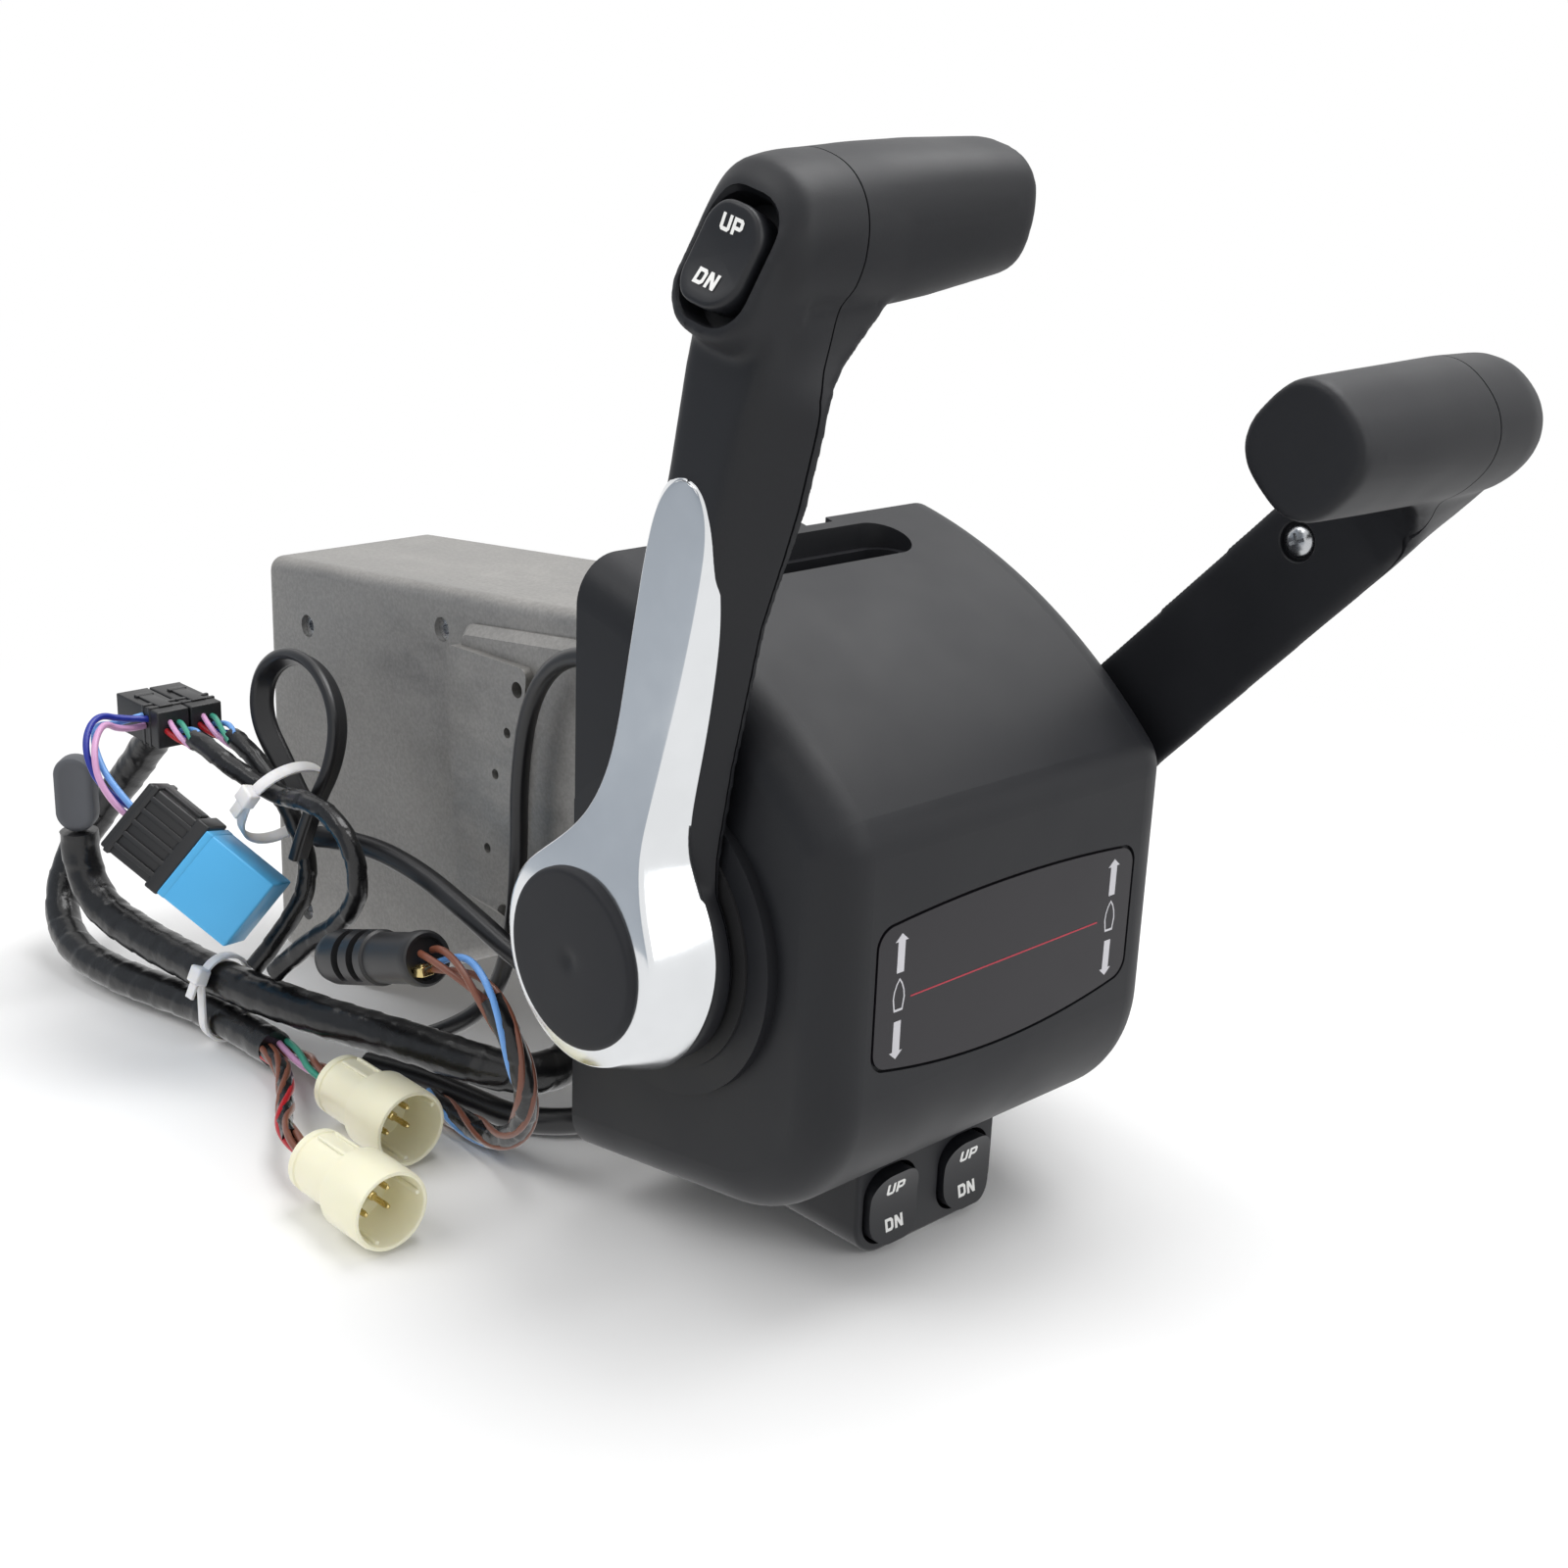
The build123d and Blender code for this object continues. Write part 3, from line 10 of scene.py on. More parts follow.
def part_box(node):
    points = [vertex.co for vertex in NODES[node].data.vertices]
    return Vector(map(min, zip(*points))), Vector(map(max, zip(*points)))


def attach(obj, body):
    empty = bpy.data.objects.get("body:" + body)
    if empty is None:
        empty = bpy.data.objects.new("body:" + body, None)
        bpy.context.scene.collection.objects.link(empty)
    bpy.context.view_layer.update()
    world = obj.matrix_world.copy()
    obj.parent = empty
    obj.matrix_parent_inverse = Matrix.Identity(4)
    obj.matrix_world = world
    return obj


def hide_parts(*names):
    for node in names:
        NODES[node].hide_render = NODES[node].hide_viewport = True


bl_info = {
    "name": "Boat Throttle Control",
    "version": (1, 0, 0),
    "blender": (4, 5, 0),
    "location": "3D View > Sidebar > Throttle",
    "description": "Builds the finishes, harness and studio of a twin-lever boat throttle control",
    "category": "Object",
}

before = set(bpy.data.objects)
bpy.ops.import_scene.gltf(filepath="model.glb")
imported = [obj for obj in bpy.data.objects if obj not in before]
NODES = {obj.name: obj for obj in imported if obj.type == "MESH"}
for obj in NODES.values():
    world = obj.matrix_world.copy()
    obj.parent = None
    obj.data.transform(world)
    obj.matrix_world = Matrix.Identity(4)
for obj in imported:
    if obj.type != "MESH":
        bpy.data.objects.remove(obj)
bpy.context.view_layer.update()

# Routes of the cords, from one end to the other, in metres.
MAIN_LOOM = [
    (-0.2202, -0.1, 0.0533), (-0.2202, -0.1, 0.039), (-0.2072, -0.099, 0.0275),
    (-0.1852, -0.096, 0.024), (-0.1562, -0.092, 0.022), (-0.1262, -0.088, 0.022),
    (-0.0942, -0.08, 0.022), (-0.0662, -0.07, 0.022), (-0.0422, -0.062, 0.021),
    (-0.0292, -0.05, 0.018), (-0.0292, -0.036, 0.018), (-0.0382, -0.025, 0.02),
    (-0.0442, -0.02, 0.027), (-0.0442, -0.02, 0.04),
]
RETURN_LOOM = [
    (-0.1122, -0.09, 0.0081), (-0.1342, -0.09, 0.0081), (-0.1622, -0.093, 0.0081),
    (-0.1912, -0.101, 0.0081), (-0.2192, -0.104, 0.009), (-0.2402, -0.1, 0.015),
    (-0.2502, -0.091, 0.03), (-0.2452, -0.081, 0.048), (-0.2312, -0.075, 0.065),
    (-0.2172, -0.072, 0.082), (-0.2072, -0.0705, 0.092),
]
TRIM_LEAD = [
    (0.0158, -0.047, 0.157), (-0.0042, -0.047, 0.157), (-0.0232, -0.0465, 0.151),
    (-0.0362, -0.046, 0.135), (-0.0412, -0.046, 0.111), (-0.0412, -0.046, 0.085),
    (-0.0432, -0.0465, 0.061), (-0.0482, -0.048, 0.041), (-0.0602, -0.051, 0.025),
    (-0.0782, -0.056, 0.015),
]
SUPPLY_CABLE = [
    (0.0158, -0.05, 0.051), (-0.0082, -0.05, 0.051), (-0.0312, -0.054, 0.058),
    (-0.0542, -0.056, 0.066), (-0.0782, -0.057, 0.072), (-0.1022, -0.061, 0.075),
    (-0.1222, -0.065, 0.072),
]
SWITCH_CABLE = [
    (0.0158, -0.018, 0.01), (0.0018, -0.018, 0.01), (-0.0112, -0.027, 0.0055),
    (-0.0182, -0.043, 0.0045), (-0.0302, -0.055, 0.0045), (-0.0502, -0.058, 0.0045),
    (-0.0722, -0.062, 0.0045), (-0.0902, -0.07, 0.0045),
]
LOOP_CABLE = [
    (-0.1172, -0.076, 0.069), (-0.1132, -0.0731, 0.085), (-0.1072, -0.068, 0.101),
    (-0.1082, -0.065, 0.117), (-0.1212, -0.063, 0.128), (-0.1412, -0.062, 0.129),
    (-0.1562, -0.063, 0.119), (-0.1562, -0.065, 0.104), (-0.1452, -0.064, 0.091),
    (-0.1362, -0.0626, 0.079),
]
BRANCH_LOOM = [
    (-0.1752, -0.086, 0.099), (-0.1582, -0.086, 0.099), (-0.1412, -0.083, 0.093),
    (-0.1242, -0.078, 0.088), (-0.1062, -0.079, 0.092), (-0.0902, -0.079, 0.091),
    (-0.0802, -0.078, 0.081), (-0.0812, -0.077, 0.066), (-0.0922, -0.078, 0.054),
    (-0.1052, -0.081, 0.045), (-0.1172, -0.0858, 0.0319),
]
FEEDER_LOOM = [
    (-0.1752, -0.074, 0.099), (-0.1582, -0.074, 0.099), (-0.1422, -0.073, 0.092),
    (-0.1302, -0.07, 0.079), (-0.1252, -0.067, 0.063), (-0.1262, -0.07, 0.047),
    (-0.1325, -0.0844, 0.028),
]
RELAY_LEAD = [
    (-0.1552, -0.112, 0.081), (-0.1636, -0.1173, 0.0878), (-0.1722, -0.117, 0.099),
    (-0.1802, -0.11, 0.105), (-0.1832, -0.101, 0.101), (-0.1832, -0.092, 0.101),
]
BARREL_LEAD = [
    (-0.0342, -0.084, 0.0647), (-0.0212, -0.084, 0.069), (-0.0072, -0.083, 0.064),
    (0.0018, -0.08, 0.05), (0.0028, -0.076, 0.034), (-0.0042, -0.072, 0.018),
    (-0.0182, -0.07, 0.007), (-0.0372, -0.0685, 0.0045), (-0.0582, -0.0679, 0.0045),
]
UPPER_LEAD = [
    (-0.1122, -0.0869, 0.0081), (-0.0982, -0.0869, 0.0081), (-0.0832, -0.0923, 0.013),
    (-0.0702, -0.0923, 0.013),
]
LOWER_LEAD = [
    (-0.1122, -0.0931, 0.0081), (-0.1012, -0.0931, 0.0081), (-0.0772, -0.107, 0.0085),
    (-0.0522, -0.1232, 0.013), (-0.0342, -0.1232, 0.013),
]
# The loop cable is flat: its mean diameter in metres, and how far it leans about its line.
LOOP_LEAN = math.radians(65)
# Length in which wires wind once round a loom and a lead, bare length at a connector, and the place
# in the noise of the tape over a lead.
LOOM_PITCH, WIRE_PITCH, BARE_WIRE, LEAD_SEED = 0.05, 0.07, 0.016, 31.0
# How fine the tape's wrinkles are along a loom, per metre, and round it, and the share of a lap's
# width over which its surface rises to the edge.
FOLDS_ALONG, FOLDS_ROUND, LAP_RISE = 130, 1.6, 0.92
# Zip ties: middle in metres, direction out of the strap's slot shape, its size in millimetres, and
# where round it the head sits.
ZIP_TIES = (((-0.1422, -0.09, 0.0155), (1, 0, 0), (30.6, 18.6), -2.0),
            ((-0.1302, -0.073, 0.083), (0.85, 0, -0.5), (34, 29.6), -1.9))

MM = 0.001
LEVER_AXIS = Vector((0.0498, 0.0, 0.097))
# How far the levers lean up from straight out at rest, in degrees.
PORT_TILT, STARBOARD_TILT = 77.8, 47.2
# Lever forms in millimetres. Arm: distance along it, back and front edge of its inner face and how
# far out that face lies, then the same for its outer face.
PORT_ARM = [
    (10, -27, 27, 71.4, -14, 14, 86), (35, -21, 21.5, 70.8, -9, 10, 86),
    (60, -18.4, 20.5, 70.6, -8.4, 10.2, 86), (98, -18, 21, 70.6, -8, 10.8, 86.6),
    (118, -17.7, 24.2, 70.3, -7.4, 12.2, 86.8), (130, -17.5, 25.8, 70, -7, 13.2, 87),
    (150, -17.8, 26.6, 69.8, -7.2, 14.8, 87.2), (154, -17.8, 25.8, 69, -7.4, 15.6, 87.2),
    (158, -17.8, 24, 66.8, -7.4, 16.4, 87.2), (162, -17.6, 21.6, 63, -7.6, 17.2, 87),
    (165.5, -17.4, 19.6, 58.4, -7.8, 17.8, 86.8), (168, -17, 18, 54.2, -8, 18, 86.6),
    (171, -16.4, 16.2, 49.6, -8, 17.8, 86.2), (175, -15, 14.2, 44.4, -8.5, 17, 85.6),
    (180, -12, 11, 39, -9, 15, 84.6), (186, -10, 8, 34, -9, 12, 84),
]
STARBOARD_ARM = [
    (10, -27, 27, 71.4, -14, 14, 86), (35, -21, 20, 70.8, -9, 9.4, 86),
    (60, -18.4, 18.2, 70.6, -8.4, 9.4, 86), (98, -18, 18.1, 70.6, -8, 9.8, 86.6),
    (130, -17.6, 18.1, 70.6, -7, 10.4, 87), (155, -17.6, 18.1, 70.6, -7.2, 11.8, 87.4),
    (165, -17.4, 18, 68.6, -8, 12.6, 88.5), (172, -17, 17.6, 64.5, -9, 13, 89.3),
    (178, -16, 16.6, 58, -10.5, 13.2, 89.8), (184, -14.6, 14.6, 50, -11.5, 13.2, 90),
    (192, -13, 12, 42, -12, 12.6, 90),
]
# How far before its corners the arm's section begins to turn.
ARM_EASE = 3.2
# Grip: how far out, centre along and across the arm, half size along and across it, oval power.
PORT_GRIP = [
    (3, 192.2, 0, 14.8, 15, 2.6), (4.2, 192.2, 0, 15.6, 15.8, 2.6), (30, 189.7, 0, 17.8, 16.8, 2.5),
    (48, 188.2, 0, 18.5, 17.6, 2.4), (62.5, 187.2, 0.5, 18.5, 18.4, 2.3),
    (72, 187, 1.2, 18.3, 18, 2.3), (80, 186.2, 2.2, 18, 17.2, 2.3),
    (84, 184.5, 2.8, 15.8, 15.4, 2.2), (87, 182, 3, 11, 12, 2.2),
]
STARBOARD_GRIP = [
    (6.5, 191.9, 0, 14.6, 14.4, 2.6), (7.6, 191.9, 0, 15.4, 15.2, 2.6),
    (30, 192, 0, 16.1, 15.8, 2.5), (62.5, 192.3, 0, 17.1, 16.6, 2.3),
    (80, 192.2, 0, 17.1, 16.5, 2.2), (86.5, 191.8, 0, 15.9, 15.3, 2.2),
    (89.4, 191.5, 0, 13, 12.4, 2.2), (90.6, 191.5, 0, 9, 9, 2.2),
]
# Hub end of the halves, and the well of the screw that joins them: radius and how far out.
HUB_DISC = ((32.6, 71.4), (33.4, 72.2), (33.4, 78), (32.4, 79))
SCREW_PLACE, SCREW_SEAT = (138.5, -4.5), 72.8
SCREW_WELL = ((6.2, 66), (5.9, 70.4), (5.4, 71), (5.4, SCREW_SEAT))
# Seam between the two halves, along and out, and whether the grip half's tongue closes it there.
SEAM_LINE = [
    (-60, 72.8, 0), (-26, 72.8, 0), (-25.9, 72.8, 1), (150, 72.8, 1), (156, 72.1, 1),
    (162, 70.1, 1), (168, 67.3, 1), (174, 64.7, 1), (180, 63, 1), (186, 62.5, 1), (195.9, 62.5, 1),
    (196, 62.5, 0), (240, 62.5, 0),
]
# Limits of what is cut away on each side of the seam, inwards, outwards and across.
SEAM_IN, SEAM_OUT, SEAM_SIDE = -30, 150, 60
# Half the gap of the seam; the tongue's half width, play beside it, height and flank.
SEAM_GAP, TONGUE_WIDE, TONGUE_PLAY, TONGUE_RISE, TONGUE_FLANK = 0.22, 12.0, 0.3, 1.4, 0.1
# Front half of the trim's outline from its tip to the hub: crease along the arm, across and out,
# then its lower edge.
TRIM_OUTLINE = [
    (129.9, 1.3, 87.5, 130.3, 1.3, 87.0), (129.4, 3.6, 87.5, 129.9, 4.4, 86.8),
    (127.4, 6.6, 87.5, 128.0, 7.8, 86.5), (123.4, 9.2, 87.5, 123.6, 10.8, 85.9),
    (118, 10.6, 87.5, 118, 12.4, 85.2), (112, 11.2, 87.5, 112, 13.3, 84.0),
    (103, 11.4, 87.5, 103, 14.3, 82.3), (94, 11.3, 87.5, 94, 15.0, 81.2),
    (80, 11.0, 87.6, 80, 15.3, 80.4), (66, 10.3, 87.9, 66, 15.4, 80.0),
    (54, 9.9, 88.6, 54, 15.1, 79.8), (44, 10.2, 89.9, 44, 15.0, 79.5),
    (36, 11.7, 91.5, 36, 16.2, 79.0), (29.3, 14.8, 93.0, 29.8, 20.2, 78.5),
    (22, 19.8, 94.6, 22.8, 26.2, 78.2),
]
# The trim round the hub: radius of its crease and its edge, and how far out they lie.
TRIM_CREASE_R, TRIM_EDGE_R, TRIM_HUB_OUT, TRIM_HUB_EDGE = 29.4, 34.3, 95.6, 78.2
# How much narrower the trim's back half is along the arm, how high its face is crowned there, and
# how much more over the hub.
TRIM_SHIFT, TRIM_CROWN, TRIM_HUB_CROWN = 2.4, 0.45, 1.25
# Middle of the port head's rocker along, across and out, the lean of its face, and width, length
# and corner radius of the rocker, its slot and its bezel.
HEAD_KEY = (183.2, 3.0, 89.4)
HEAD_LEAN = math.radians(22)
HEAD_KEY_SIZE = (18.6, 24.0, 7.6)
HEAD_SLOT = (21.4, 30.0, 8.4)
HEAD_BEZEL = (27.0, 35.6, 11.0)
# The rocker's height in its middle and how much its ends rise; its foot and the rows over its top,
# as shares of its outline, with height and with drop.
KEY_RISE, KEY_HOLLOW = 2.0, 1.9
KEY_FOOT = (0.97, -4.5)
KEY_ROWS = ((1.0, 1.7), (0.985, 0.85), (0.95, 0.3), (0.89, 0.06), (0.75, 0), (0.5, 0), (0.25, 0),
            (0.02, 0))

# Cream connectors in millimetres, (along, radius): the cup, how deep its floor is, and a pin.
CUP_PROFILE = ((0, 0), (0, 8.8), (0.7, 9.5), (3, 9.6), (3.4, 9.2), (4.6, 9.2), (5, 9.6), (17, 9.6),
               (19.6, 10.2), (20.6, 11.7), (21.4, 12), (37.2, 12), (38.3, 11.7), (38.5, 11.2),
               (38.3, 10.6), (37.6, 10.3), (22.2, 10.3), (21.5, 9.9), (21.5, 0))
CUP_FLOOR = 21.5
PIN_PROFILE = ((0, 0), (0, 1.3), (2.2, 1.3), (2.4, 0.9), (8.5, 0.9), (9.8, 0.6), (10.2, 0))
# Direction across the relay's broad face.
RELAY_SIDE = (-0.282, -0.641, -0.714)

# Label, in metres: gap round the film and rounding of its rim. Its print, in millimetres: distance
# of the marks from the middle, outline of a boat, and the ends of the line.
LABEL_GROOVE, LABEL_RIM = 0.0007, 0.0003
MARKS_APART = 42.4
HULL = [(0, 1.6), (1.1, 0.1), (1.9, -1.9), (2.2, -4), (1.6, -7.6), (-1.6, -7.6), (-2.2, -4),
        (-1.9, -1.9), (-1.1, 0.1)]
LABEL_LINE = ((-38, -4.6), (36.9, -3.7))
# Rocker legends: how much a rocker's face sags, the height of its middle, how far the ink clears
# it, and the letters in a grid five units high.
KEY_SAG, KEY_MIDDLE, INK_LIFT = 2.0, 1.6, 0.03
LETTER_HEIGHT = 5
LETTERS = {
    "U": ([(0, 5), (0, 0.8), (0.8, 0), (3.4, 0), (4.2, 0.8), (4.2, 5), (3, 5), (3, 1.15),
           (1.2, 1.15), (1.2, 5)],),
    "P": ([(0, 0), (0, 5), (3.4, 5), (4.2, 4.2), (4.2, 2.3), (3.4, 1.5), (1.2, 1.5), (1.2, 0)],
          [(1.2, 2.6), (1.2, 3.9), (3, 3.9), (3, 2.6)]),
    "D": ([(0, 0), (0, 5), (3.2, 5), (4.2, 4), (4.2, 1), (3.2, 0)],
          [(1.2, 1.15), (1.2, 3.85), (2.6, 3.85), (3, 3.45), (3, 1.55), (2.6, 1.15)]),
    "N": ([(0, 0), (0, 5), (1.3, 5), (3, 2.2), (3, 5), (4.2, 5), (4.2, 0), (2.9, 0), (1.2, 2.8),
           (1.2, 0)],),
}

# Camera: turn from ahead, rise and roll in degrees, and its place in metres.
CAMERA_TURN_RISE_ROLL = (45.8, 18.9, 2.4)
CAMERA_PLACE = (0.45198, -0.41576, 0.32124)
# Studio: soft lamps with place, width and watts, and where they aim; the middle of the floor, and
# where it starts and ends fading to white; the glowing card's middle, half width, aim and ends of
# its tone. The card is seen only in reflections, where it paints a reflection on the chrome.
LAMPS = (("key_lamp", (-0.5, -1.0, 1.3), 1.0, 10.0), ("fill_lamp", (1.2, 0.3, 0.7), 0.8, 4.0),
         ("top_lamp", (0.1, 0.5, 1.45), 1.1, 17.0))
LAMP_AIM = Vector((0, 0, 0.1))
FLOOR_MIDDLE, FLOOR_NEAR, FLOOR_FAR = (-0.02, -0.02, 0.0), 0.22, 0.6
CARD_PLACE, CARD_HALF, CARD_AIM = Vector((-0.2, -0.42, 0.22)), 0.42, Vector((0.07, -0.08, 0.22))
CARD_LOW, CARD_HIGH = "#cfd5dc", "#7b838e"


def linear(code):
    """sRGB hex colour as linear red, green, blue and alpha."""
    parts = [int(code[i:i + 2], 16) / 255 for i in (1, 3, 5)]
    return tuple(p / 12.92 if p <= 0.04045 else ((p + 0.055) / 1.055) ** 2.4
                 for p in parts) + (1.0,)


def colour(code, name, description):
    """Colour property with an sRGB hex default."""
    return FloatVectorProperty(name=name, description=description, subtype="COLOR", size=4,
                               min=0.0, max=1.0, default=linear(code))


def length(metres, name, description):
    """Length property in metres."""
    return FloatProperty(name=name, description=description, unit="LENGTH", default=metres,
                         min=0.0, precision=5)


class ThrottleSizes(bpy.types.PropertyGroup):
    """Sizes of the printed, taped and wired details"""
    tape_lap: length(0.0105, "Tape lap", "Distance between the laps of tape along a loom")
    tape_step: length(0.00035, "Tape step", "Height of the edge where one lap lies on the next")
    tape_slack: length(0.0007, "Tape slack", "How far the tape wrinkles in over the wires")
    print_rise: length(0.00006, "Print rise", "Height of printed ink above its surface")
    arrow_width: length(0.0048, "Arrow width", "Width of an arrow head on the label")
    line_width: length(0.00042, "Line width", "Width of the printed line on the label")
    legend_height: length(0.0038, "Legend height", "Height of the letters on the rockers")
    wire: length(0.0019, "Wire diameter", "Outside diameter of one insulated wire")
    rib: length(0.001, "Rib height", "Height of the ribs on the relay socket")
    floor: length(6.0, "Floor width", "Width of the studio floor")
    lever_step: length(0.0011, "Lever mesh step", "Distance between points of the lever halves")
    lever_rounds: IntProperty(name="Lever softening", default=14, min=0,
                              description="Rounds of softening of lever edges")
    laps: IntProperty(name="Ring points", default=28, min=12,
                      description="Points round a taped loom")


class ThrottleColours(bpy.types.PropertyGroup):
    """Colours of the finishes"""
    abs: colour("#191a1e", "Moulded ABS", "Black of the cover, levers and apron")
    cap: colour("#1f2024", "Hub cap", "Black elastomer of the hub caps")
    label: colour("#1d1b20", "Label film", "Smoked polycarbonate of the label")
    ink: colour("#c8c7cc", "Ink", "Silk-screened arrows and boat outlines")
    line: colour("#b02a3e", "Red ink", "Silk-screened line")
    legend: colour("#f2f2f0", "Legend ink", "White letters of the rockers")
    cast: colour("#a3a19e", "Cast aluminium", "Pressure die-cast case")
    chrome: colour("#e4e6e8", "Chrome", "Chrome plate on the lever trims")
    jacket: colour("#17171a", "Cable jacket", "Extruded black PVC")
    tape: colour("#141416", "Harness tape", "Black PVC harness tape")
    nylon: colour("#f5f1d6", "Connector nylon", "Unfilled nylon of the cream connectors")
    relay: colour("#4fb2ea", "Relay case", "Blue polyester of the relay")
    tie: colour("#ecebec", "Tie nylon", "Natural nylon of the zip ties")
    housing: colour("#1b1b1d", "Housing", "Black polyester of sockets and barrel")
    cap_face: colour("#55575c", "Dust cap", "Grey rubber of the loom cap")
    brown: colour("#7c4a38", "Brown wire", "Insulation")
    pink: colour("#d9a3cf", "Pink wire", "Insulation")
    sky: colour("#6ea6ea", "Light blue wire", "Insulation")
    blue: colour("#1f2f9c", "Blue wire", "Insulation")
    red: colour("#b5121f", "Red wire", "Insulation")
    teal: colour("#3d9c84", "Teal wire", "Insulation")
    floor: colour("#f4f4f4", "Floor", "Pale studio floor")


def add(tree, kind, settings=None, inputs=None):
    """Adds a shader node, sets its properties, and fills or links its inputs."""
    node = tree.nodes.new(kind)
    for key, value in (settings or {}).items():
        setattr(node, key, value)
    for key, value in (inputs or {}).items():
        if isinstance(value, bpy.types.NodeSocket):
            tree.links.new(value, node.inputs[key])
        else:
            node.inputs[key].default_value = value
    return node


def blank(name):
    """An empty material and its node tree."""
    made = bpy.data.materials.new(name)
    made.use_nodes = True
    made.node_tree.nodes.clear()
    return made, made.node_tree


def speckle(tree, size, detail=3.0, roughness=0.6, stretch=(1, 1, 1)):
    """Noise over the piece's own coordinates whose lumps are about size metres across."""
    place = add(tree, "ShaderNodeTexCoord").outputs["Object"]
    scaled = add(tree, "ShaderNodeMapping", {}, {"Vector": place, "Scale": stretch})
    return add(tree, "ShaderNodeTexNoise", {},
               {"Vector": scaled.outputs[0], "Scale": 1 / size, "Detail": detail,
                "Roughness": roughness}).outputs["Fac"]


def spread(tree, value, low, high, start=0.35, end=0.65):
    """Maps noise between start and end to low and high."""
    return add(tree, "ShaderNodeMapRange", {}, {"Value": value, "From Min": start, "From Max": end,
                                                "To Min": low, "To Max": high}).outputs[0]


def shaded(tree, base, factor, dark):
    """The base colour, darkened by up to dark where factor is 0."""
    deep = tuple(c * (1 - dark) for c in base[:3]) + (1.0,)
    return add(tree, "ShaderNodeMix", {"data_type": "RGBA"},
               {"Factor": factor, "A": deep, "B": tuple(base)}).outputs["Result"]


def finish(tree, inputs, bumps):
    """Principled surface with a stack of bumps, each (height, depth in metres), to the output."""
    inputs = dict(inputs)
    for height, depth in bumps:
        links = {"Height": height, "Distance": depth, "Strength": 1.0}
        if "Normal" in inputs:
            links["Normal"] = inputs["Normal"]
        inputs["Normal"] = add(tree, "ShaderNodeBump", {}, links).outputs[0]
    made = add(tree, "ShaderNodeBsdfPrincipled", {}, inputs)
    add(tree, "ShaderNodeOutputMaterial", {}, {"Surface": made.outputs[0]})


def plastic(name, base, gloss, grain, depth, ior, dark, sheen=0.0, scatter=0.0, shine=0.5):
    """Moulded, extruded or printed polymer: fine grain over a broad mottling of tone and gloss."""
    made, tree = blank(name)
    fine = speckle(tree, grain)
    broad = speckle(tree, MOTTLE, 2.0)
    inputs = {"Base Color": shaded(tree, base, spread(tree, broad, 0.0, 1.0), dark),
              "Roughness": spread(tree, broad, gloss, gloss + 0.08), "IOR": ior,
              "Specular IOR Level": shine, "Sheen Weight": sheen, "Sheen Roughness": 0.4}
    if scatter:
        inputs.update({"Subsurface Weight": scatter, "Subsurface Radius": (0.004, 0.0035, 0.002),
                       "Subsurface Scale": 0.5})
    finish(tree, inputs, [(fine, depth), (broad, depth * 2)])
    return made


def metal(name, base, gloss, grain, depth, stretch=(1, 1, 1), dark=0.1):
    """Bare or plated metal: grain stretched along brushing or turning, under faint stains."""
    made, tree = blank(name)
    fine = speckle(tree, grain, 4.0, 0.65, stretch)
    broad = speckle(tree, STAIN, 3.0)
    finish(tree, {"Base Color": shaded(tree, base, spread(tree, broad, 0.0, 1.0), dark),
                  "Roughness": spread(tree, fine, gloss, gloss + 0.1), "Metallic": 1.0},
           [(fine, depth)])
    return made


def cast_aluminium(name, base):
    """Casting skin with flow marks, cold-shut streaks and fine pits."""
    made, tree = blank(name)
    flow = speckle(tree, 0.02, 5.0, 0.7, (0.5, 1, 1.4))
    skin_grain = speckle(tree, 0.0012, 4.0)
    pits = speckle(tree, 0.0006, 2.0)
    tone = add(tree, "ShaderNodeMath", {"operation": "MULTIPLY_ADD"},
               {0: flow, 1: 0.75, 2: spread(tree, skin_grain, 0.0, 0.25)}).outputs[0]
    finish(tree, {"Base Color": shaded(tree, base, spread(tree, tone, 0.0, 1.0, 0.3, 0.8), 0.32),
                  "Roughness": spread(tree, flow, 0.42, 0.62), "Metallic": 0.75, "IOR": 1.5},
           [(skin_grain, 0.00004), (pits, 0.00002)])
    return made


# Size in metres of the broad mottling of polymers and of the stains of metals.
MOTTLE, STAIN = 0.035, 0.02
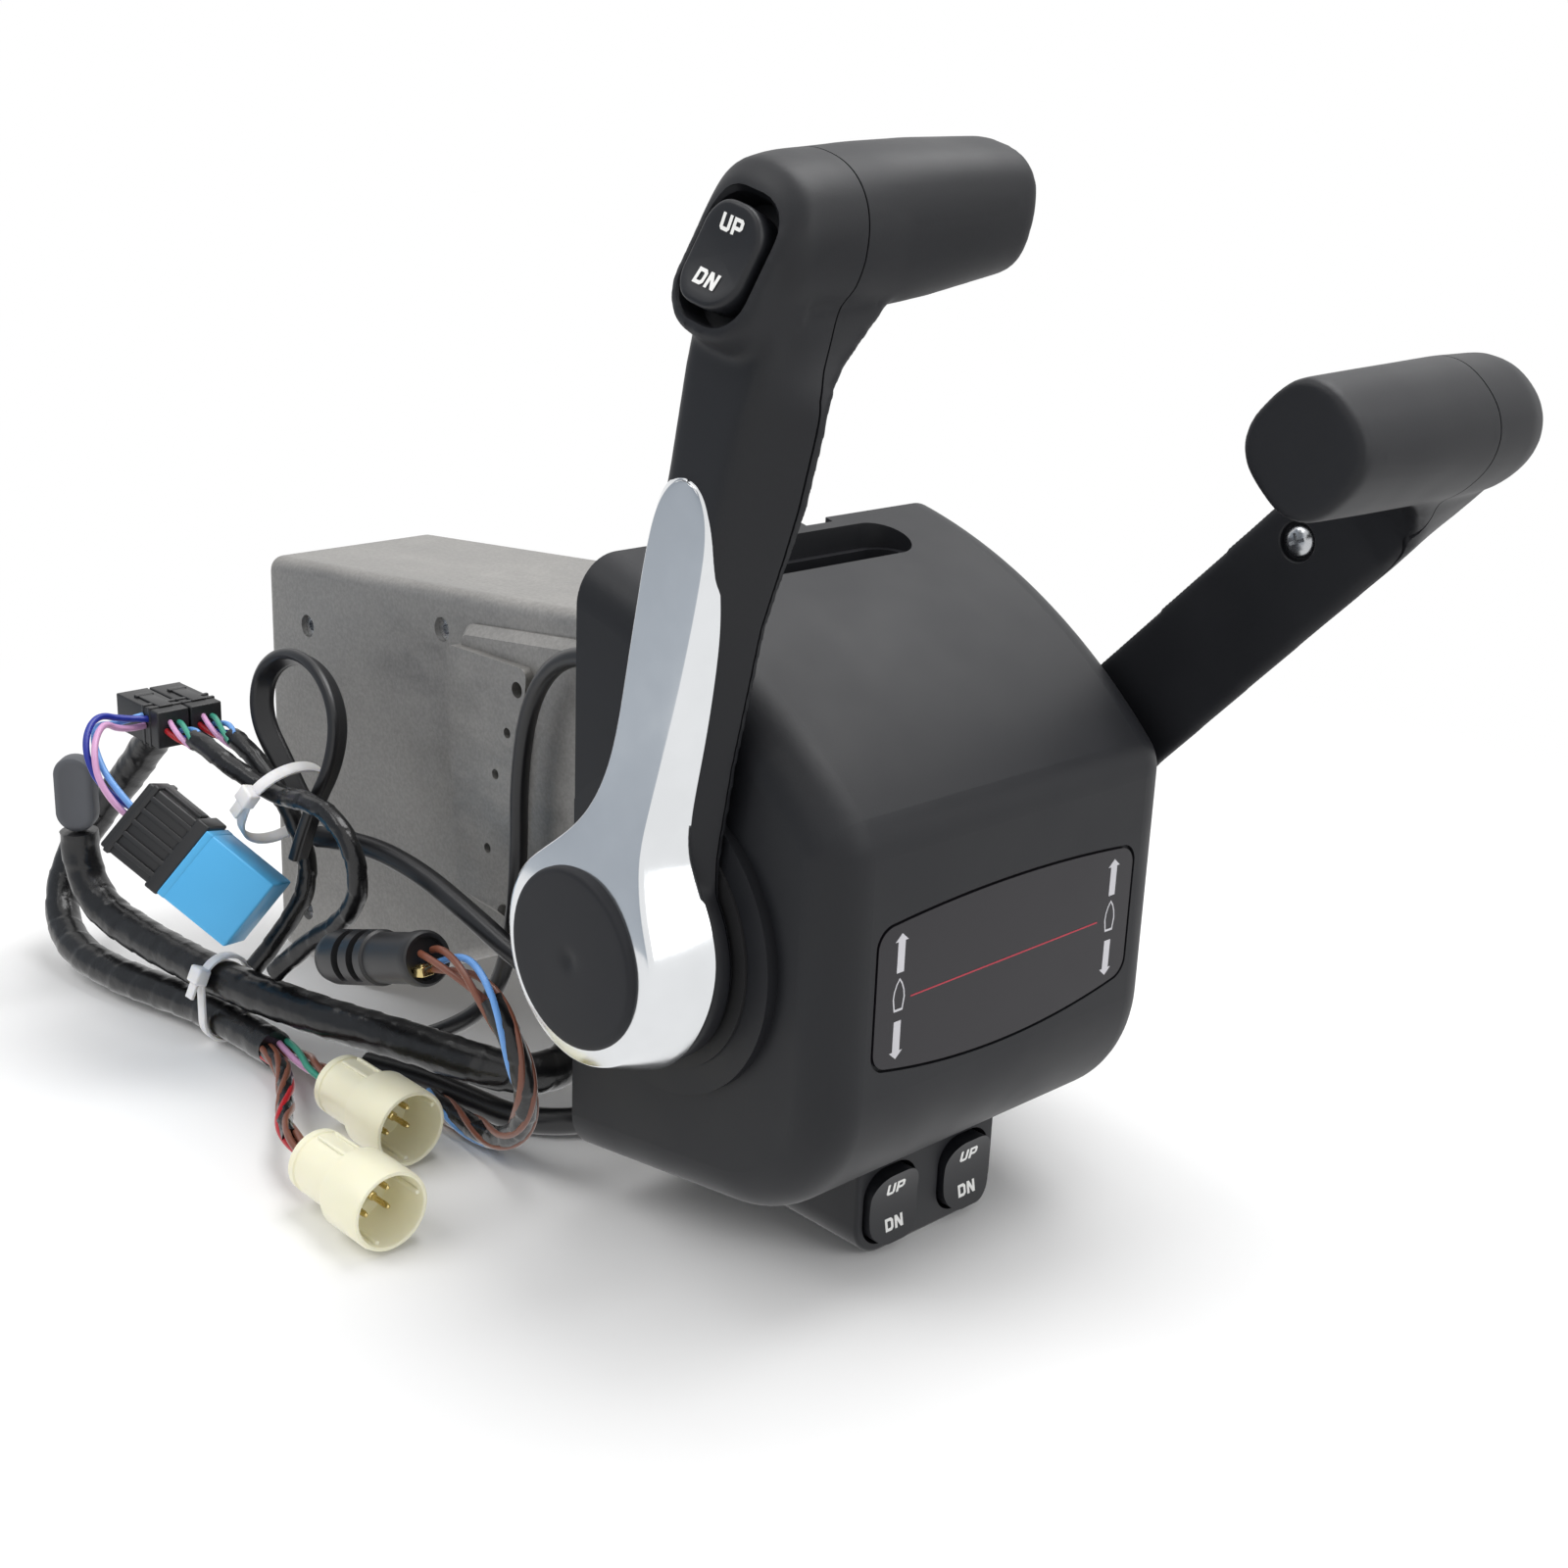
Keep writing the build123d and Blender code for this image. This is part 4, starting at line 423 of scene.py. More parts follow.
# Polymers: colour, least roughness, grain and its depth in metres, index of refraction, how much
# the mottling darkens, and what else the surface has.
POLYMERS = {
    # ABS moulded in a spark-eroded tool: matte grain that breaks reflections into a soft grey.
    "abs_spark_textured": ("abs", 0.46, 0.00045, 0.00002, 1.53, 0.12, {"shine": 0.3}),
    # ABS moulded in a polished tool: smoother, so the rockers show a soft highlight.
    "abs_satin_moulded": ("abs", 0.36, 0.0006, 0.000008, 1.53, 0.12, {"shine": 0.35}),
    # Elastomer moulded dull: no clear highlight at all.
    "elastomer_moulded": ("cap", 0.6, 0.0004, 0.000015, 1.5, 0.12, {"sheen": 0.05, "shine": 0.3}),
    # Polycarbonate film, smooth: an even satin reflection over smoked black.
    "polycarbonate_film": ("label", 0.3, 0.0012, 0.000003, 1.58, 0.04, {"shine": 0.3}),
    # Silk-screened ink: flat and slightly rough, with a barely uneven film.
    "screen_ink_silver": ("ink", 0.5, 0.0003, 0.000004, 1.5, 0.05, {}),
    "screen_ink_red": ("line", 0.5, 0.0003, 0.000004, 1.5, 0.05, {}),
    "screen_ink_white": ("legend", 0.45, 0.0003, 0.000004, 1.5, 0.03, {}),
    # Powder-coated steel plate: fine orange peel under a semi-matt black.
    "steel_powder_coated": ("#1d1d1f", 0.42, 0.0016, 0.00002, 1.5, 0.12, {}),
    # EPDM seal, moulded: dark and dull.
    "epdm_moulded": ("#18181a", 0.6, 0.0008, 0.00002, 1.5, 0.12, {}),
    # PVC jacket, extruded: smooth, with long faint flow lines and a clear highlight.
    "pvc_extruded": ("jacket", 0.3, 0.004, 0.00004, 1.53, 0.2, {}),
    # PVC harness tape, wound: glossy film, wrinkled over the wires.
    "pvc_tape_wound": ("tape", 0.24, 0.005, 0.0003, 1.53, 0.25, {}),
    # Natural nylon, moulded: cream and slightly see-through at thin walls.
    "nylon_moulded": ("nylon", 0.32, 0.002, 0.00001, 1.53, 0.04, {"scatter": 0.25}),
    # Nylon of the ties, moulded: whiter, with the same soft depth.
    "nylon_tie": ("tie", 0.3, 0.002, 0.00001, 1.53, 0.03, {"scatter": 0.25}),
    # Polyester housings, moulded: fine matte.
    "polyester_black": ("housing", 0.4, 0.0008, 0.00001, 1.55, 0.12, {}),
    "polyester_blue": ("relay", 0.35, 0.0012, 0.000008, 1.55, 0.06, {}),
    # Grey rubber dust cap: dull, faintly mottled.
    "rubber_grey": ("cap_face", 0.5, 0.0012, 0.00001, 1.5, 0.1, {}),
}
# Thin-wall PVC wire insulation: coloured, with a soft gloss.
POLYMERS.update({"pvc_wire_" + shade: (shade, 0.32, 0.003, 0.00001, 1.53, 0.1, {})
                 for shade in ("brown", "pink", "sky", "blue", "red", "teal")})
# Metals: colour, least roughness, grain and its depth in metres, and what else the surface has.
METALS = {
    # Chrome over moulded ABS: mirror bright, with the slow ripple of the moulding under it.
    "chrome_on_abs": ("chrome", 0.11, 0.02, 0.00004, {"dark": 0.05}),
    # Zinc-plated steel, rolled threads: bright but slightly clouded.
    "steel_zinc_plated": ("#c3c5c8", 0.22, 0.001, 0.00001, {}),
    # Ground steel of shafts and gears: fine scratches round the turning direction.
    "steel_ground": ("#a9abad", 0.28, 0.0008, 0.00001, {"stretch": (1, 6, 1)}),
    # Sintered brass bush: warm, slightly porous.
    "brass_sintered": ("#c9a45c", 0.34, 0.0006, 0.00002, {}),
    # Tin-plated brass pins: bright yellow metal.
    "brass_tinned": ("#d8c48a", 0.2, 0.001, 0.000005, {}),
}
# Pressure die-cast aluminium: a dull grey skin, uneven in tone, that catches soft light.
CASTINGS = {"aluminium_die_cast": ("cast", {})}
SURFACES = {}


def surface(name):
    """The named finish, made once."""
    for make, table in ((plastic, POLYMERS), (metal, METALS), (cast_aluminium, CASTINGS)):
        if name in table and name not in SURFACES:
            shade, *values, more = table[name]
            base = linear(shade) if shade[0] == "#" else getattr(
                bpy.context.scene.throttle_colours, shade)
            SURFACES[name] = make(name, base, *values, **more)
    return SURFACES[name]


def dress(material, *nodes):
    """Gives CAD nodes a finish by their objects' material slots."""
    for name in nodes:
        node = NODES[name]
        if not node.material_slots:
            node.data.materials.append(None)
        for place in node.material_slots:
            place.link = "OBJECT"
            place.material = surface(material)


def linked(name, data):
    """Object of some data, in the scene."""
    made = bpy.data.objects.new(name, data)
    bpy.context.scene.collection.objects.link(made)
    return made


def show(name, data, body, materials, replaced=()):
    """Links a made piece, lets it ride on its body and stand for CAD nodes."""
    piece = linked(name, data)
    for material in materials:
        data.materials.append(surface(material))
    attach(piece, body)
    if replaced:
        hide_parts(*replaced)
    return piece


def mesh_of(name, bm):
    """Mesh of the built faces as they are."""
    data = bpy.data.meshes.new(name)
    bm.to_mesh(data)
    bm.free()
    return data


def as_mesh(name, bm, sharp=35.0):
    """Mesh of the built faces, smooth except over edges sharper than the given angle."""
    bmesh.ops.remove_doubles(bm, verts=bm.verts, dist=1e-7)
    bmesh.ops.recalc_face_normals(bm, faces=bm.faces)
    for face in bm.faces:
        face.smooth = True
    for edge in bm.edges:
        edge.smooth = len(edge.link_faces) == 2 and edge.calc_face_angle() < math.radians(sharp)
    return mesh_of(name, bm)


def route_curve(name, route, radius):
    """Smooth NURBS cable along a route."""
    data = bpy.data.curves.new(name, "CURVE")
    data.dimensions = "3D"
    data.resolution_u = 24
    data.bevel_depth = radius
    data.bevel_resolution = 7
    data.use_fill_caps = radius > 0
    line = data.splines.new("NURBS")
    line.points.add(len(route) - 1)
    for point, place in zip(line.points, route):
        point.co = (*place, 1)
    line.use_endpoint_u = True
    line.order_u = 3
    return data


def stations(route):
    """(distance, place, side, up) along the route's own NURBS line, without twist."""
    data = route_curve("line", route, 0)
    holder = bpy.data.objects.new("line", data)
    mesh = bpy.data.meshes.new_from_object(holder)
    places = [vertex.co.copy() for vertex in mesh.vertices]
    bpy.data.objects.remove(holder)
    bpy.data.meshes.remove(mesh)
    bpy.data.curves.remove(data)
    run, made, side = 0.0, [], None
    for i, place in enumerate(places):
        ahead = (places[min(i + 1, len(places) - 1)] - places[max(i - 1, 0)]).normalized()
        if side is None:
            side = ahead.orthogonal().normalized()
        side = (side - ahead * side.dot(ahead)).normalized()
        if i:
            run += (place - places[i - 1]).length
        made.append((run, place, side.copy(), ahead.cross(side)))
    return made


def around(count, shift=0.0):
    """Angles of equal steps round a circle."""
    return [2 * math.pi * (k + shift) / count for k in range(count)]


def bulge(value, power):
    """Sine or cosine raised to a power, with its sign."""
    return math.copysign(abs(value) ** power, value)


def skin(bm, rings, material=0, closed=False):
    """Joins rings of places into one form, capped at its ends or closed on itself."""
    made = [[bm.verts.new(place) for place in ring] for ring in rings]
    sides = []
    for before, after in zip(made, made[1:] + (made[:1] if closed else [])):
        for i in range(max(len(before), len(after))):
            corners = (before[i % len(before)], before[(i + 1) % len(before)],
                       after[(i + 1) % len(after)], after[i % len(after)])
            sides.append(tuple(dict.fromkeys(corners)))
    caps = [ring for ring in (made[0], made[-1]) if len(ring) > 1 and not closed]
    for corners in sides + caps:
        bm.faces.new(corners).material_index = material


def tube(bm, line, ring, start=0.0, end=1e9, material=0):
    """Skins rings of (across, up) offsets along the part of the line between start and end."""
    skin(bm, [[place + side * a + up * b for a, b in ring(run)]
              for run, place, side, up in line if start <= run <= end], material)


def round_ring(radius, count, offset, phase, pitch):
    """Rings of a strand that winds round the line at offset, once in each pitch."""
    def ring(run):
        lay = phase + 2 * math.pi * run / pitch
        middle = Vector((math.cos(lay), math.sin(lay))) * offset
        return [(middle.x + radius * math.cos(turn), middle.y + radius * math.sin(turn))
                for turn in around(count)]
    return ring


def taped_ring(radius, seed):
    """Rings of a loom under wound tape: lap edges on a spiral and wrinkles between them."""
    sizes = bpy.context.scene.throttle_sizes

    def ring(run):
        made = []
        for k, turn in enumerate(around(sizes.laps)):
            lap = (run / sizes.tape_lap + k / sizes.laps) % 1.0
            spot = Vector((run * FOLDS_ALONG, math.cos(turn) * FOLDS_ROUND,
                           math.sin(turn) * FOLDS_ROUND + seed))
            fold = noise.noise(spot) * 0.6 + noise.noise(spot * 2.3) * 0.4
            fall = (1 - lap) * LAP_RISE / (1 - LAP_RISE)
            edge = sizes.tape_step * (lap if lap < LAP_RISE else fall)
            r = radius - sizes.tape_step + edge - sizes.tape_slack * (0.5 + 0.5 * fold)
            made.append((r * math.cos(turn), r * math.sin(turn)))
        return made
    return ring


def twin_ring(width, thick, lean):
    """Rings of a flat cable of two cores side by side, leaned about its line."""
    c, q = math.cos(lean), math.sin(lean)

    def ring(run):
        made = []
        for turn in around(24):
            across = width / 2 * bulge(math.cos(turn), 0.55)
            waist = 1 - 0.3 * math.exp(-(across / (0.1 * width)) ** 2)
            up = thick / 2 * bulge(math.sin(turn), 0.8) * waist
            made.append((across * c - up * q, across * q + up * c))
        return made
    return ring


def lathe(bm, origin, axis, profile, count, side=None):
    """Turned form; profile holds (along, radius) in millimetres, or the radius at an angle."""
    axis = Vector(axis).normalized()
    side = Vector(side) if side else axis.orthogonal()
    side = (side - axis * axis.dot(side)).normalized()
    up = axis.cross(side)
    rings = []
    for along, radius in profile:
        middle = Vector(origin) + axis * (along * MM)
        ring = []
        for turn in around(count if radius else 1):
            r = (radius(turn) if callable(radius) else radius) * MM
            ring.append(middle + side * (r * math.cos(turn)) + up * (r * math.sin(turn)))
        rings.append(ring)
    skin(bm, rings)


def block(bm, centre, across, along, size, rounding, mouth=0.0):
    """Box with rounded edges; size, in millimetres, runs across, along and up, and mouth hollows
    its far end."""
    across = Vector(across).normalized()
    along = (Vector(along) - across * across.dot(Vector(along))).normalized()
    turn = Matrix((across, along, across.cross(along))).transposed().to_4x4()
    turn.translation = Vector(centre)
    scale = Matrix.Diagonal((*(edge * MM for edge in size), 1))
    made = bmesh.ops.create_cube(bm, size=1.0, matrix=turn @ scale)
    faces = {face for corner in made["verts"] for face in corner.link_faces}
    edges = {edge for face in faces for edge in face.edges}
    if mouth:
        end = max(faces, key=lambda face: face.calc_center_median().dot(along))
        bmesh.ops.inset_region(bm, faces=[end], thickness=1.4 * MM)
        bmesh.ops.translate(bm, verts=end.verts, vec=-along * (mouth * MM))
    if rounding:
        bmesh.ops.bevel(bm, geom=list(edges), offset=rounding * MM, segments=3, profile=0.5,
                        affect="EDGES", clamp_overlap=True)


def blocks(bm, foot, axis, side, rows):
    """Boxes in one frame; rows hold (along, across, out), size and rounding in millimetres."""
    axis, side = Vector(axis), Vector(side)
    out = axis.cross(side)
    for (a, s, d), size, rounding in rows:
        block(bm, foot + (axis * a + side * s + out * d) * MM, side, axis, size, rounding)


def slot_axes(normal):
    """Directions out of and along a strap's slot shape, and across it."""
    normal = Vector(normal).normalized()
    along = Vector((normal.z, 0, -normal.x)).normalized()
    return normal, along, normal.cross(along)


def obround(bm, centre, normal, along, size, layers):
    """Slot-shaped pad in millimetres: layers hold (inset, height along the normal)."""
    normal = Vector(normal).normalized()
    along = Vector(along).normalized()
    across = normal.cross(along)
    half, radius = (size[0] - size[1]) / 2, size[1] / 2
    rings = []
    for inset, height in layers:
        reach = radius - inset
        rings.append([Vector(centre) + (normal * height + across * (reach * math.sin(turn))
                                        + along * (math.copysign(half, math.cos(turn))
                                                   + reach * math.cos(turn))) * MM
                      for turn in around(40, 0.5)])
    skin(bm, rings)


def band(bm, centre, normal, size, thick, width):
    """Closed flat strap, in millimetres, bent round a slot shape, with rounded edges."""
    normal, along, across = slot_axes(normal)
    half, radius = (size[0] - size[1]) / 2, size[1] / 2
    section = ((0, -0.42), (0, 0.42), (0.18, 0.5), (0.82, 0.5), (1, 0.42), (1, -0.42), (0.82, -0.5),
               (0.18, -0.5))
    rings = []
    for turn in around(72, 0.5):
        out = along * math.cos(turn) + across * math.sin(turn)
        middle = along * math.copysign(half, math.cos(turn))
        rings.append([Vector(centre) + (middle + out * (radius - thick * depth)
                                        + normal * (width * shift)) * MM
                      for depth, shift in section])
    skin(bm, rings, closed=True)


def flat_print(name, loops, place, body, ink):
    """Filled flat outlines, each a list of (across, up) in millimetres, laid on a face."""
    rise = bpy.context.scene.throttle_sizes.print_rise
    data = bpy.data.curves.new(name, "CURVE")
    data.dimensions = "2D"
    data.fill_mode = "BOTH"
    data.extrude = rise / 2
    for loop in loops:
        line = data.splines.new("POLY")
        line.points.add(len(loop) - 1)
        for point, (across, up) in zip(line.points, loop):
            point.co = (across * MM, up * MM, 0, 1)
        line.use_cyclic_u = True
    piece = show(name, data, body, [ink])
    piece.matrix_basis = place @ Matrix.Translation((0, 0, rise / 2))


def face_pose(origin, across, normal):
    """Matrix whose X runs across a face and whose Z points out of it."""
    across, normal = Vector(across).normalized(), Vector(normal).normalized()
    pose = Matrix((across, normal.cross(across), normal)).transposed().to_4x4()
    pose.translation = Vector(origin)
    return pose


def clamped(value):
    """The value, held between 0 and 1."""
    return min(1.0, max(0.0, value))


def rows_at(rows, place):
    """Values of the rows, read between the two that a place lies between."""
    for low, high in zip(rows, rows[1:]):
        if place <= high[0]:
            share = max(0.0, (place - low[0]) / (high[0] - low[0]))
            return [a + (b - a) * share for a, b in zip(low[1:], high[1:])]
    return rows[-1][1:]


def lever_pose(side, tilt):
    """Turns (along, across, out) in millimetres from a lever's axis into a place."""
    turn = math.radians(tilt)
    along = Vector((math.cos(turn), 0, math.sin(turn)))
    across = Vector((math.sin(turn), 0, -math.cos(turn)))
    return lambda s, t, h: LEVER_AXIS + (along * s + across * t + Vector((0, side * h, 0))) * MM


def bezel(pose, across, up, height):
    """Place on the face of the port head's rocker, which leans back at the top."""
    along, shift, out = HEAD_KEY
    return pose(along + up * math.cos(HEAD_LEAN) + height * math.sin(HEAD_LEAN), shift + across,
                out - up * math.sin(HEAD_LEAN) + height * math.cos(HEAD_LEAN))


def discs(pose, rows, count, s=0.0, t=0.0):
    """Rings about the point (s, t) of a lever; rows hold (radius, out)."""
    return [[pose(s + r * math.cos(turn), t + r * math.sin(turn), h) for turn in around(count)]
            for r, h in rows]


def eased(corners, cut):
    """Closed outline with each corner eased into a curve that starts cut before it."""
    made = []
    for i, here in enumerate(corners):
        here = Vector(here)
        back = here + (Vector(corners[i - 1]) - here).normalized() * cut
        on = here + (Vector(corners[(i + 1) % len(corners)]) - here).normalized() * cut
        for f in (0, 0.25, 0.5, 0.75, 1):
            made.append(back * (1 - f) ** 2 + here * (2 * f * (1 - f)) + on * f ** 2)
    return made


def rounded(wide, long, corner, count=7):
    """Outline of a rectangle with round corners."""
    made = []
    for quarter in range(4):
        x = (wide / 2 - corner) * (1 if quarter in (0, 3) else -1)
        y = (long / 2 - corner) * (1 if quarter < 2 else -1)
        for k in range(count):
            turn = math.pi / 2 * (quarter + k / (count - 1))
            made.append((x + corner * math.cos(turn), y + corner * math.sin(turn)))
    return made


def holder_of(name, bm):
    """Object of the built faces, for its modifiers."""
    bmesh.ops.recalc_face_normals(bm, faces=bm.faces)
    return linked(name, mesh_of(name, bm))


def applied(holder, *others):
    """Mesh of an object with its modifiers applied; the object and the others go."""
    shape = holder.evaluated_get(bpy.context.evaluated_depsgraph_get())
    made = bpy.data.meshes.new_from_object(shape)
    for item in (holder,) + others:
        old = item.data
        bpy.data.objects.remove(item)
        bpy.data.meshes.remove(old)
    return made


def applied_smooth(name, sharp, holder, *others):
    """Smooth mesh, sharp over its edges, of an object with its modifiers applied."""
    bm = bmesh.new()
    made = applied(holder, *others)
    bm.from_mesh(made)
    bpy.data.meshes.remove(made)
    return as_mesh(name, bm, sharp)


def carved(name, data, *cutters):
    """Copy of a mesh with the cutters' forms taken out of it."""
    holder = linked(name, data.copy())
    tools = [holder_of("cutter", cutter) for cutter in cutters]
    for tool in tools:
        cut = holder.modifiers.new("cut", "BOOLEAN")
        cut.operation = "DIFFERENCE"
        cut.solver = "EXACT"
        cut.object = tool
    return applied_smooth(name, 35.0, holder, *tools)


def formed(rings):
    """Built faces of one form."""
    bm = bmesh.new()
    skin(bm, rings)
    return bm


class THROTTLE_OT_camera(bpy.types.Operator):
    """Sets the camera in front of the port bow quarter"""
    bl_idname = "throttle.camera"
    bl_label = "Camera"

    def execute(self, context):
        lens = bpy.data.cameras.new("studio_camera")
        lens.lens = 50.0
        lens.sensor_width = 36.0
        lens.sensor_fit = "HORIZONTAL"
        lens.clip_start = 0.02
        lens.clip_end = 20.0
        eye = linked("studio_camera", lens)
        turn, rise, roll = (math.radians(degrees) for degrees in CAMERA_TURN_RISE_ROLL)
        back = Vector((math.sin(turn) * math.cos(rise), -math.cos(turn) * math.cos(rise),
                       math.sin(rise)))
        right = Vector((math.cos(turn), math.sin(turn), 0))
        up = back.cross(right)
        across = right * math.cos(roll) + up * math.sin(roll)
        upright = up * math.cos(roll) - right * math.sin(roll)
        pose = Matrix((across, upright, back)).transposed().to_4x4()
        pose.translation = CAMERA_PLACE
        eye.matrix_world = pose
        context.scene.camera = eye
        return {"FINISHED"}


def declared(route):
    """Works out the stations along a cord's route; nothing is done with them."""
    line = stations(route)


class THROTTLE_OT_levers(bpy.types.Operator):
    """Models the two levers: arm and grip halves, trim, cap, and the screw that joins them"""
    bl_idname = "throttle.levers"
    bl_label = "Levers"

    def execute(self, context):
        for side, name, tilt, arm, grip, squeeze in (
                (-1, "port", PORT_TILT, PORT_ARM, PORT_GRIP, 1.0),
                (1, "starboard", STARBOARD_TILT, STARBOARD_ARM, STARBOARD_GRIP, 0.93)):
            pose = lever_pose(side, tilt)
            self.halves(name, pose, self.form(name, pose, arm, grip))
            self.trim(name, pose, squeeze)
            self.screw(name, pose)
            self.cap(name, pose)
            if name == "port":
                self.key(pose)
        return {"FINISHED"}

    def form(self, name, pose, arm, grip):
        """Both halves in one: arm, grip and hub run together, then soften"""
        sizes = bpy.context.scene.throttle_sizes
        rings = []
        for s in range(10, int(arm[-1][0]) + 1, 2):
            back, front, inner, outer_back, outer_front, outer = rows_at(arm, s)
            section = eased([(back, inner), (outer_back, outer), (outer_front, outer),
                             (front, inner)], ARM_EASE)
            rings.append([pose(s, *corner) for corner in section])
        bm = formed(rings)
        skin(bm, [[pose(middle + long * bulge(math.cos(turn), 2 / power),
                        shift + wide * bulge(math.sin(turn), 2 / power), out)
                   for turn in around(48)] for out, middle, shift, long, wide, power in grip])
        skin(bm, discs(pose, HUB_DISC, 64))
        if name == "port":
            skin(bm, self.well(pose, HEAD_BEZEL, ((0, -1.0), (-1.0, 0.2), (-15, 3.2))))
        holder = holder_of("lever_form", bm)
        even = holder.modifiers.new("even", "REMESH")
        even.mode = "VOXEL"
        even.voxel_size = sizes.lever_step
        soft = holder.modifiers.new("soft", "SMOOTH")
        soft.factor = 0.5
        soft.iterations = sizes.lever_rounds
        return applied(holder)

    def well(self, pose, size, layers):
        """Rings of the rocker's outline; layers hold (height, growth)"""
        wide, long, corner = size
        return [[bezel(pose, x, y, height) for x, y in rounded(wide + grow, long + grow, corner)]
                for height, grow in layers]

    def halves(self, name, pose, form):
        """Parts the form along the seam, where a tongue of the grip half closes the gap"""
        for half, limit, shut, wide in (("arm", SEAM_IN, SEAM_GAP, TONGUE_WIDE + TONGUE_PLAY),
                                        ("grip", SEAM_OUT, -SEAM_GAP, TONGUE_WIDE)):
            crest = wide - TONGUE_FLANK
            rings = []
            for t, rise in ((-SEAM_SIDE, 0), (-wide, 0), (-crest, TONGUE_RISE),
                            (crest, TONGUE_RISE), (wide, 0), (SEAM_SIDE, 0)):
                rings.append([pose(SEAM_LINE[0][0], t, limit)]
                             + [pose(s, t, h + shut + rise * inside) for s, h, inside in SEAM_LINE]
                             + [pose(SEAM_LINE[-1][0], t, limit)])
            cutters = [formed(rings)]
            if half == "grip":
                cutters.append(formed(discs(pose, SCREW_WELL, 40, *SCREW_PLACE)))
            elif name == "port":
                cutters.append(formed(self.well(pose, HEAD_SLOT,
                                                ((12, 2.4), (0.4, 1.4), (-0.7, 0), (-9, -0.4)))))
            piece = f"{name}_{half}_shell"
            show(piece, carved(piece, form, *cutters), name + "_lever",
                 ["abs_spark_textured"], [f"{name}_{half}"])
        bpy.data.meshes.remove(form)

    def key(self, pose):
        """Rocker of the port head: round-ended, with its middle lower than its ends"""
        wide, long, corner = HEAD_KEY_SIZE
        outline = rounded(wide, long, corner, 9)
        rings = [[bezel(pose, x * KEY_FOOT[0], y * KEY_FOOT[0], KEY_FOOT[1]) for x, y in outline]]
        for share, drop in KEY_ROWS:
            rings.append([bezel(pose, x * share, y * share,
                                KEY_RISE + KEY_HOLLOW * (2 * y * share / long) ** 2 - drop)
                          for x, y in outline])
        show("grip_rocker_key", as_mesh("grip_rocker_key", formed(rings), 50), "grip_rocker",
             ["abs_satin_moulded"], ["grip_rocker"])

    def cap(self, name, pose):
        """Dull moulded disc over the hub bolt, with a soft dimple in its middle"""
        edge, dome, dimple, dimple_r = 98.5, 0.25, 0.75, 2.6
        rings = [(24.3, 94.2), (24.3, 97.2), (24, 98), (23.4, 98.45)]
        rings += [(r, edge + dome * (1 - (r / 24) ** 2) - dimple * math.exp(-(r / dimple_r) ** 2))
                  for r in (22.6, 20, 16, 12, 8, 6, 5, 4, 3.2, 2.6, 2, 1.4, 0.8, 0.2)]
        bm = formed(discs(pose, rings, 72))
        show(name + "_cap_disc", as_mesh(name + "_cap_disc", bm, 40), name + "_lever",
             ["elastomer_moulded"], [name + "_hub_cap"])

    def trim(self, name, pose, squeeze):
        """Chromed trim: narrow along the arm, and a round shoulder over the hub"""
        rows = []
        for s, t, h, ls, lt, lh in TRIM_OUTLINE:
            thin = squeeze if s > 40 else 1
            rows.append((s, t * thin, h, ls, lt * thin, lh, TRIM_SHIFT * clamped((s - 22) / 28)))
        for degrees in (123, 112, 100, 88, 75, 62, 49, 36, 23, 11, 0):
            c, q = math.cos(math.radians(degrees)), math.sin(math.radians(degrees))
            rows.append((-TRIM_CREASE_R * c, TRIM_CREASE_R * q, TRIM_HUB_OUT, -TRIM_EDGE_R * c,
                         TRIM_EDGE_R * q, TRIM_HUB_EDGE + 3.2 * clamped((110 - degrees) / 40), 0.0))
        rings = []
        for s, t, h, ls, lt, lh, shift in rows:
            near, far = (s + 2 * ls) / 3, (2 * s + ls) / 3
            low, high = (h + 2 * lh) / 3, (2 * h + lh) / 3 + 0.1
            hub = clamped((44 - s) / 30)
            ring = [(ls, -lt + shift * 0.83, lh), (near, -(t + 2 * lt) / 3 + shift * 0.9, low),
                    (far, -(2 * t + lt) / 3 + shift, high)]
            for x in (-1, -0.9, -0.55, 0, 0.55, 0.9, 1):
                here = x * t + (1 - x) / 2 * shift
                reach = math.hypot(s, here) / TRIM_CREASE_R if s < 22 else abs(x)
                crown = (TRIM_CROWN + TRIM_HUB_CROWN * hub) * (1 - min(1.0, reach) ** 5)
                ring.append((s, here, h + crown))
            ring += [(far, (2 * t + lt) / 3, high), (near, (t + 2 * lt) / 3, low), (ls, lt, lh),
                     (ls * 0.98, lt * 0.9, lh - 1.5),
                     (ls * 0.98, -lt * 0.9 + shift * 0.8, lh - 1.5)]
            rings.append([pose(*place) for place in ring])
        bm = formed(rings)
        bmesh.ops.remove_doubles(bm, verts=bm.verts, dist=2e-5)
        keep = bm.edges.layers.float.new("crease_edge")
        for edge in bm.edges:
            if len(edge.link_faces) == 2 and edge.calc_face_angle() > math.radians(28):
                edge[keep] = 0.75
        holder = holder_of("trim_form", bm)
        even = holder.modifiers.new("even", "SUBSURF")
        even.levels = even.render_levels = 2
        piece = name + "_trim_shell"
        show(piece, applied_smooth(piece, 60, holder), name + "_lever",
             ["chrome_on_abs"], [name + "_trim"])

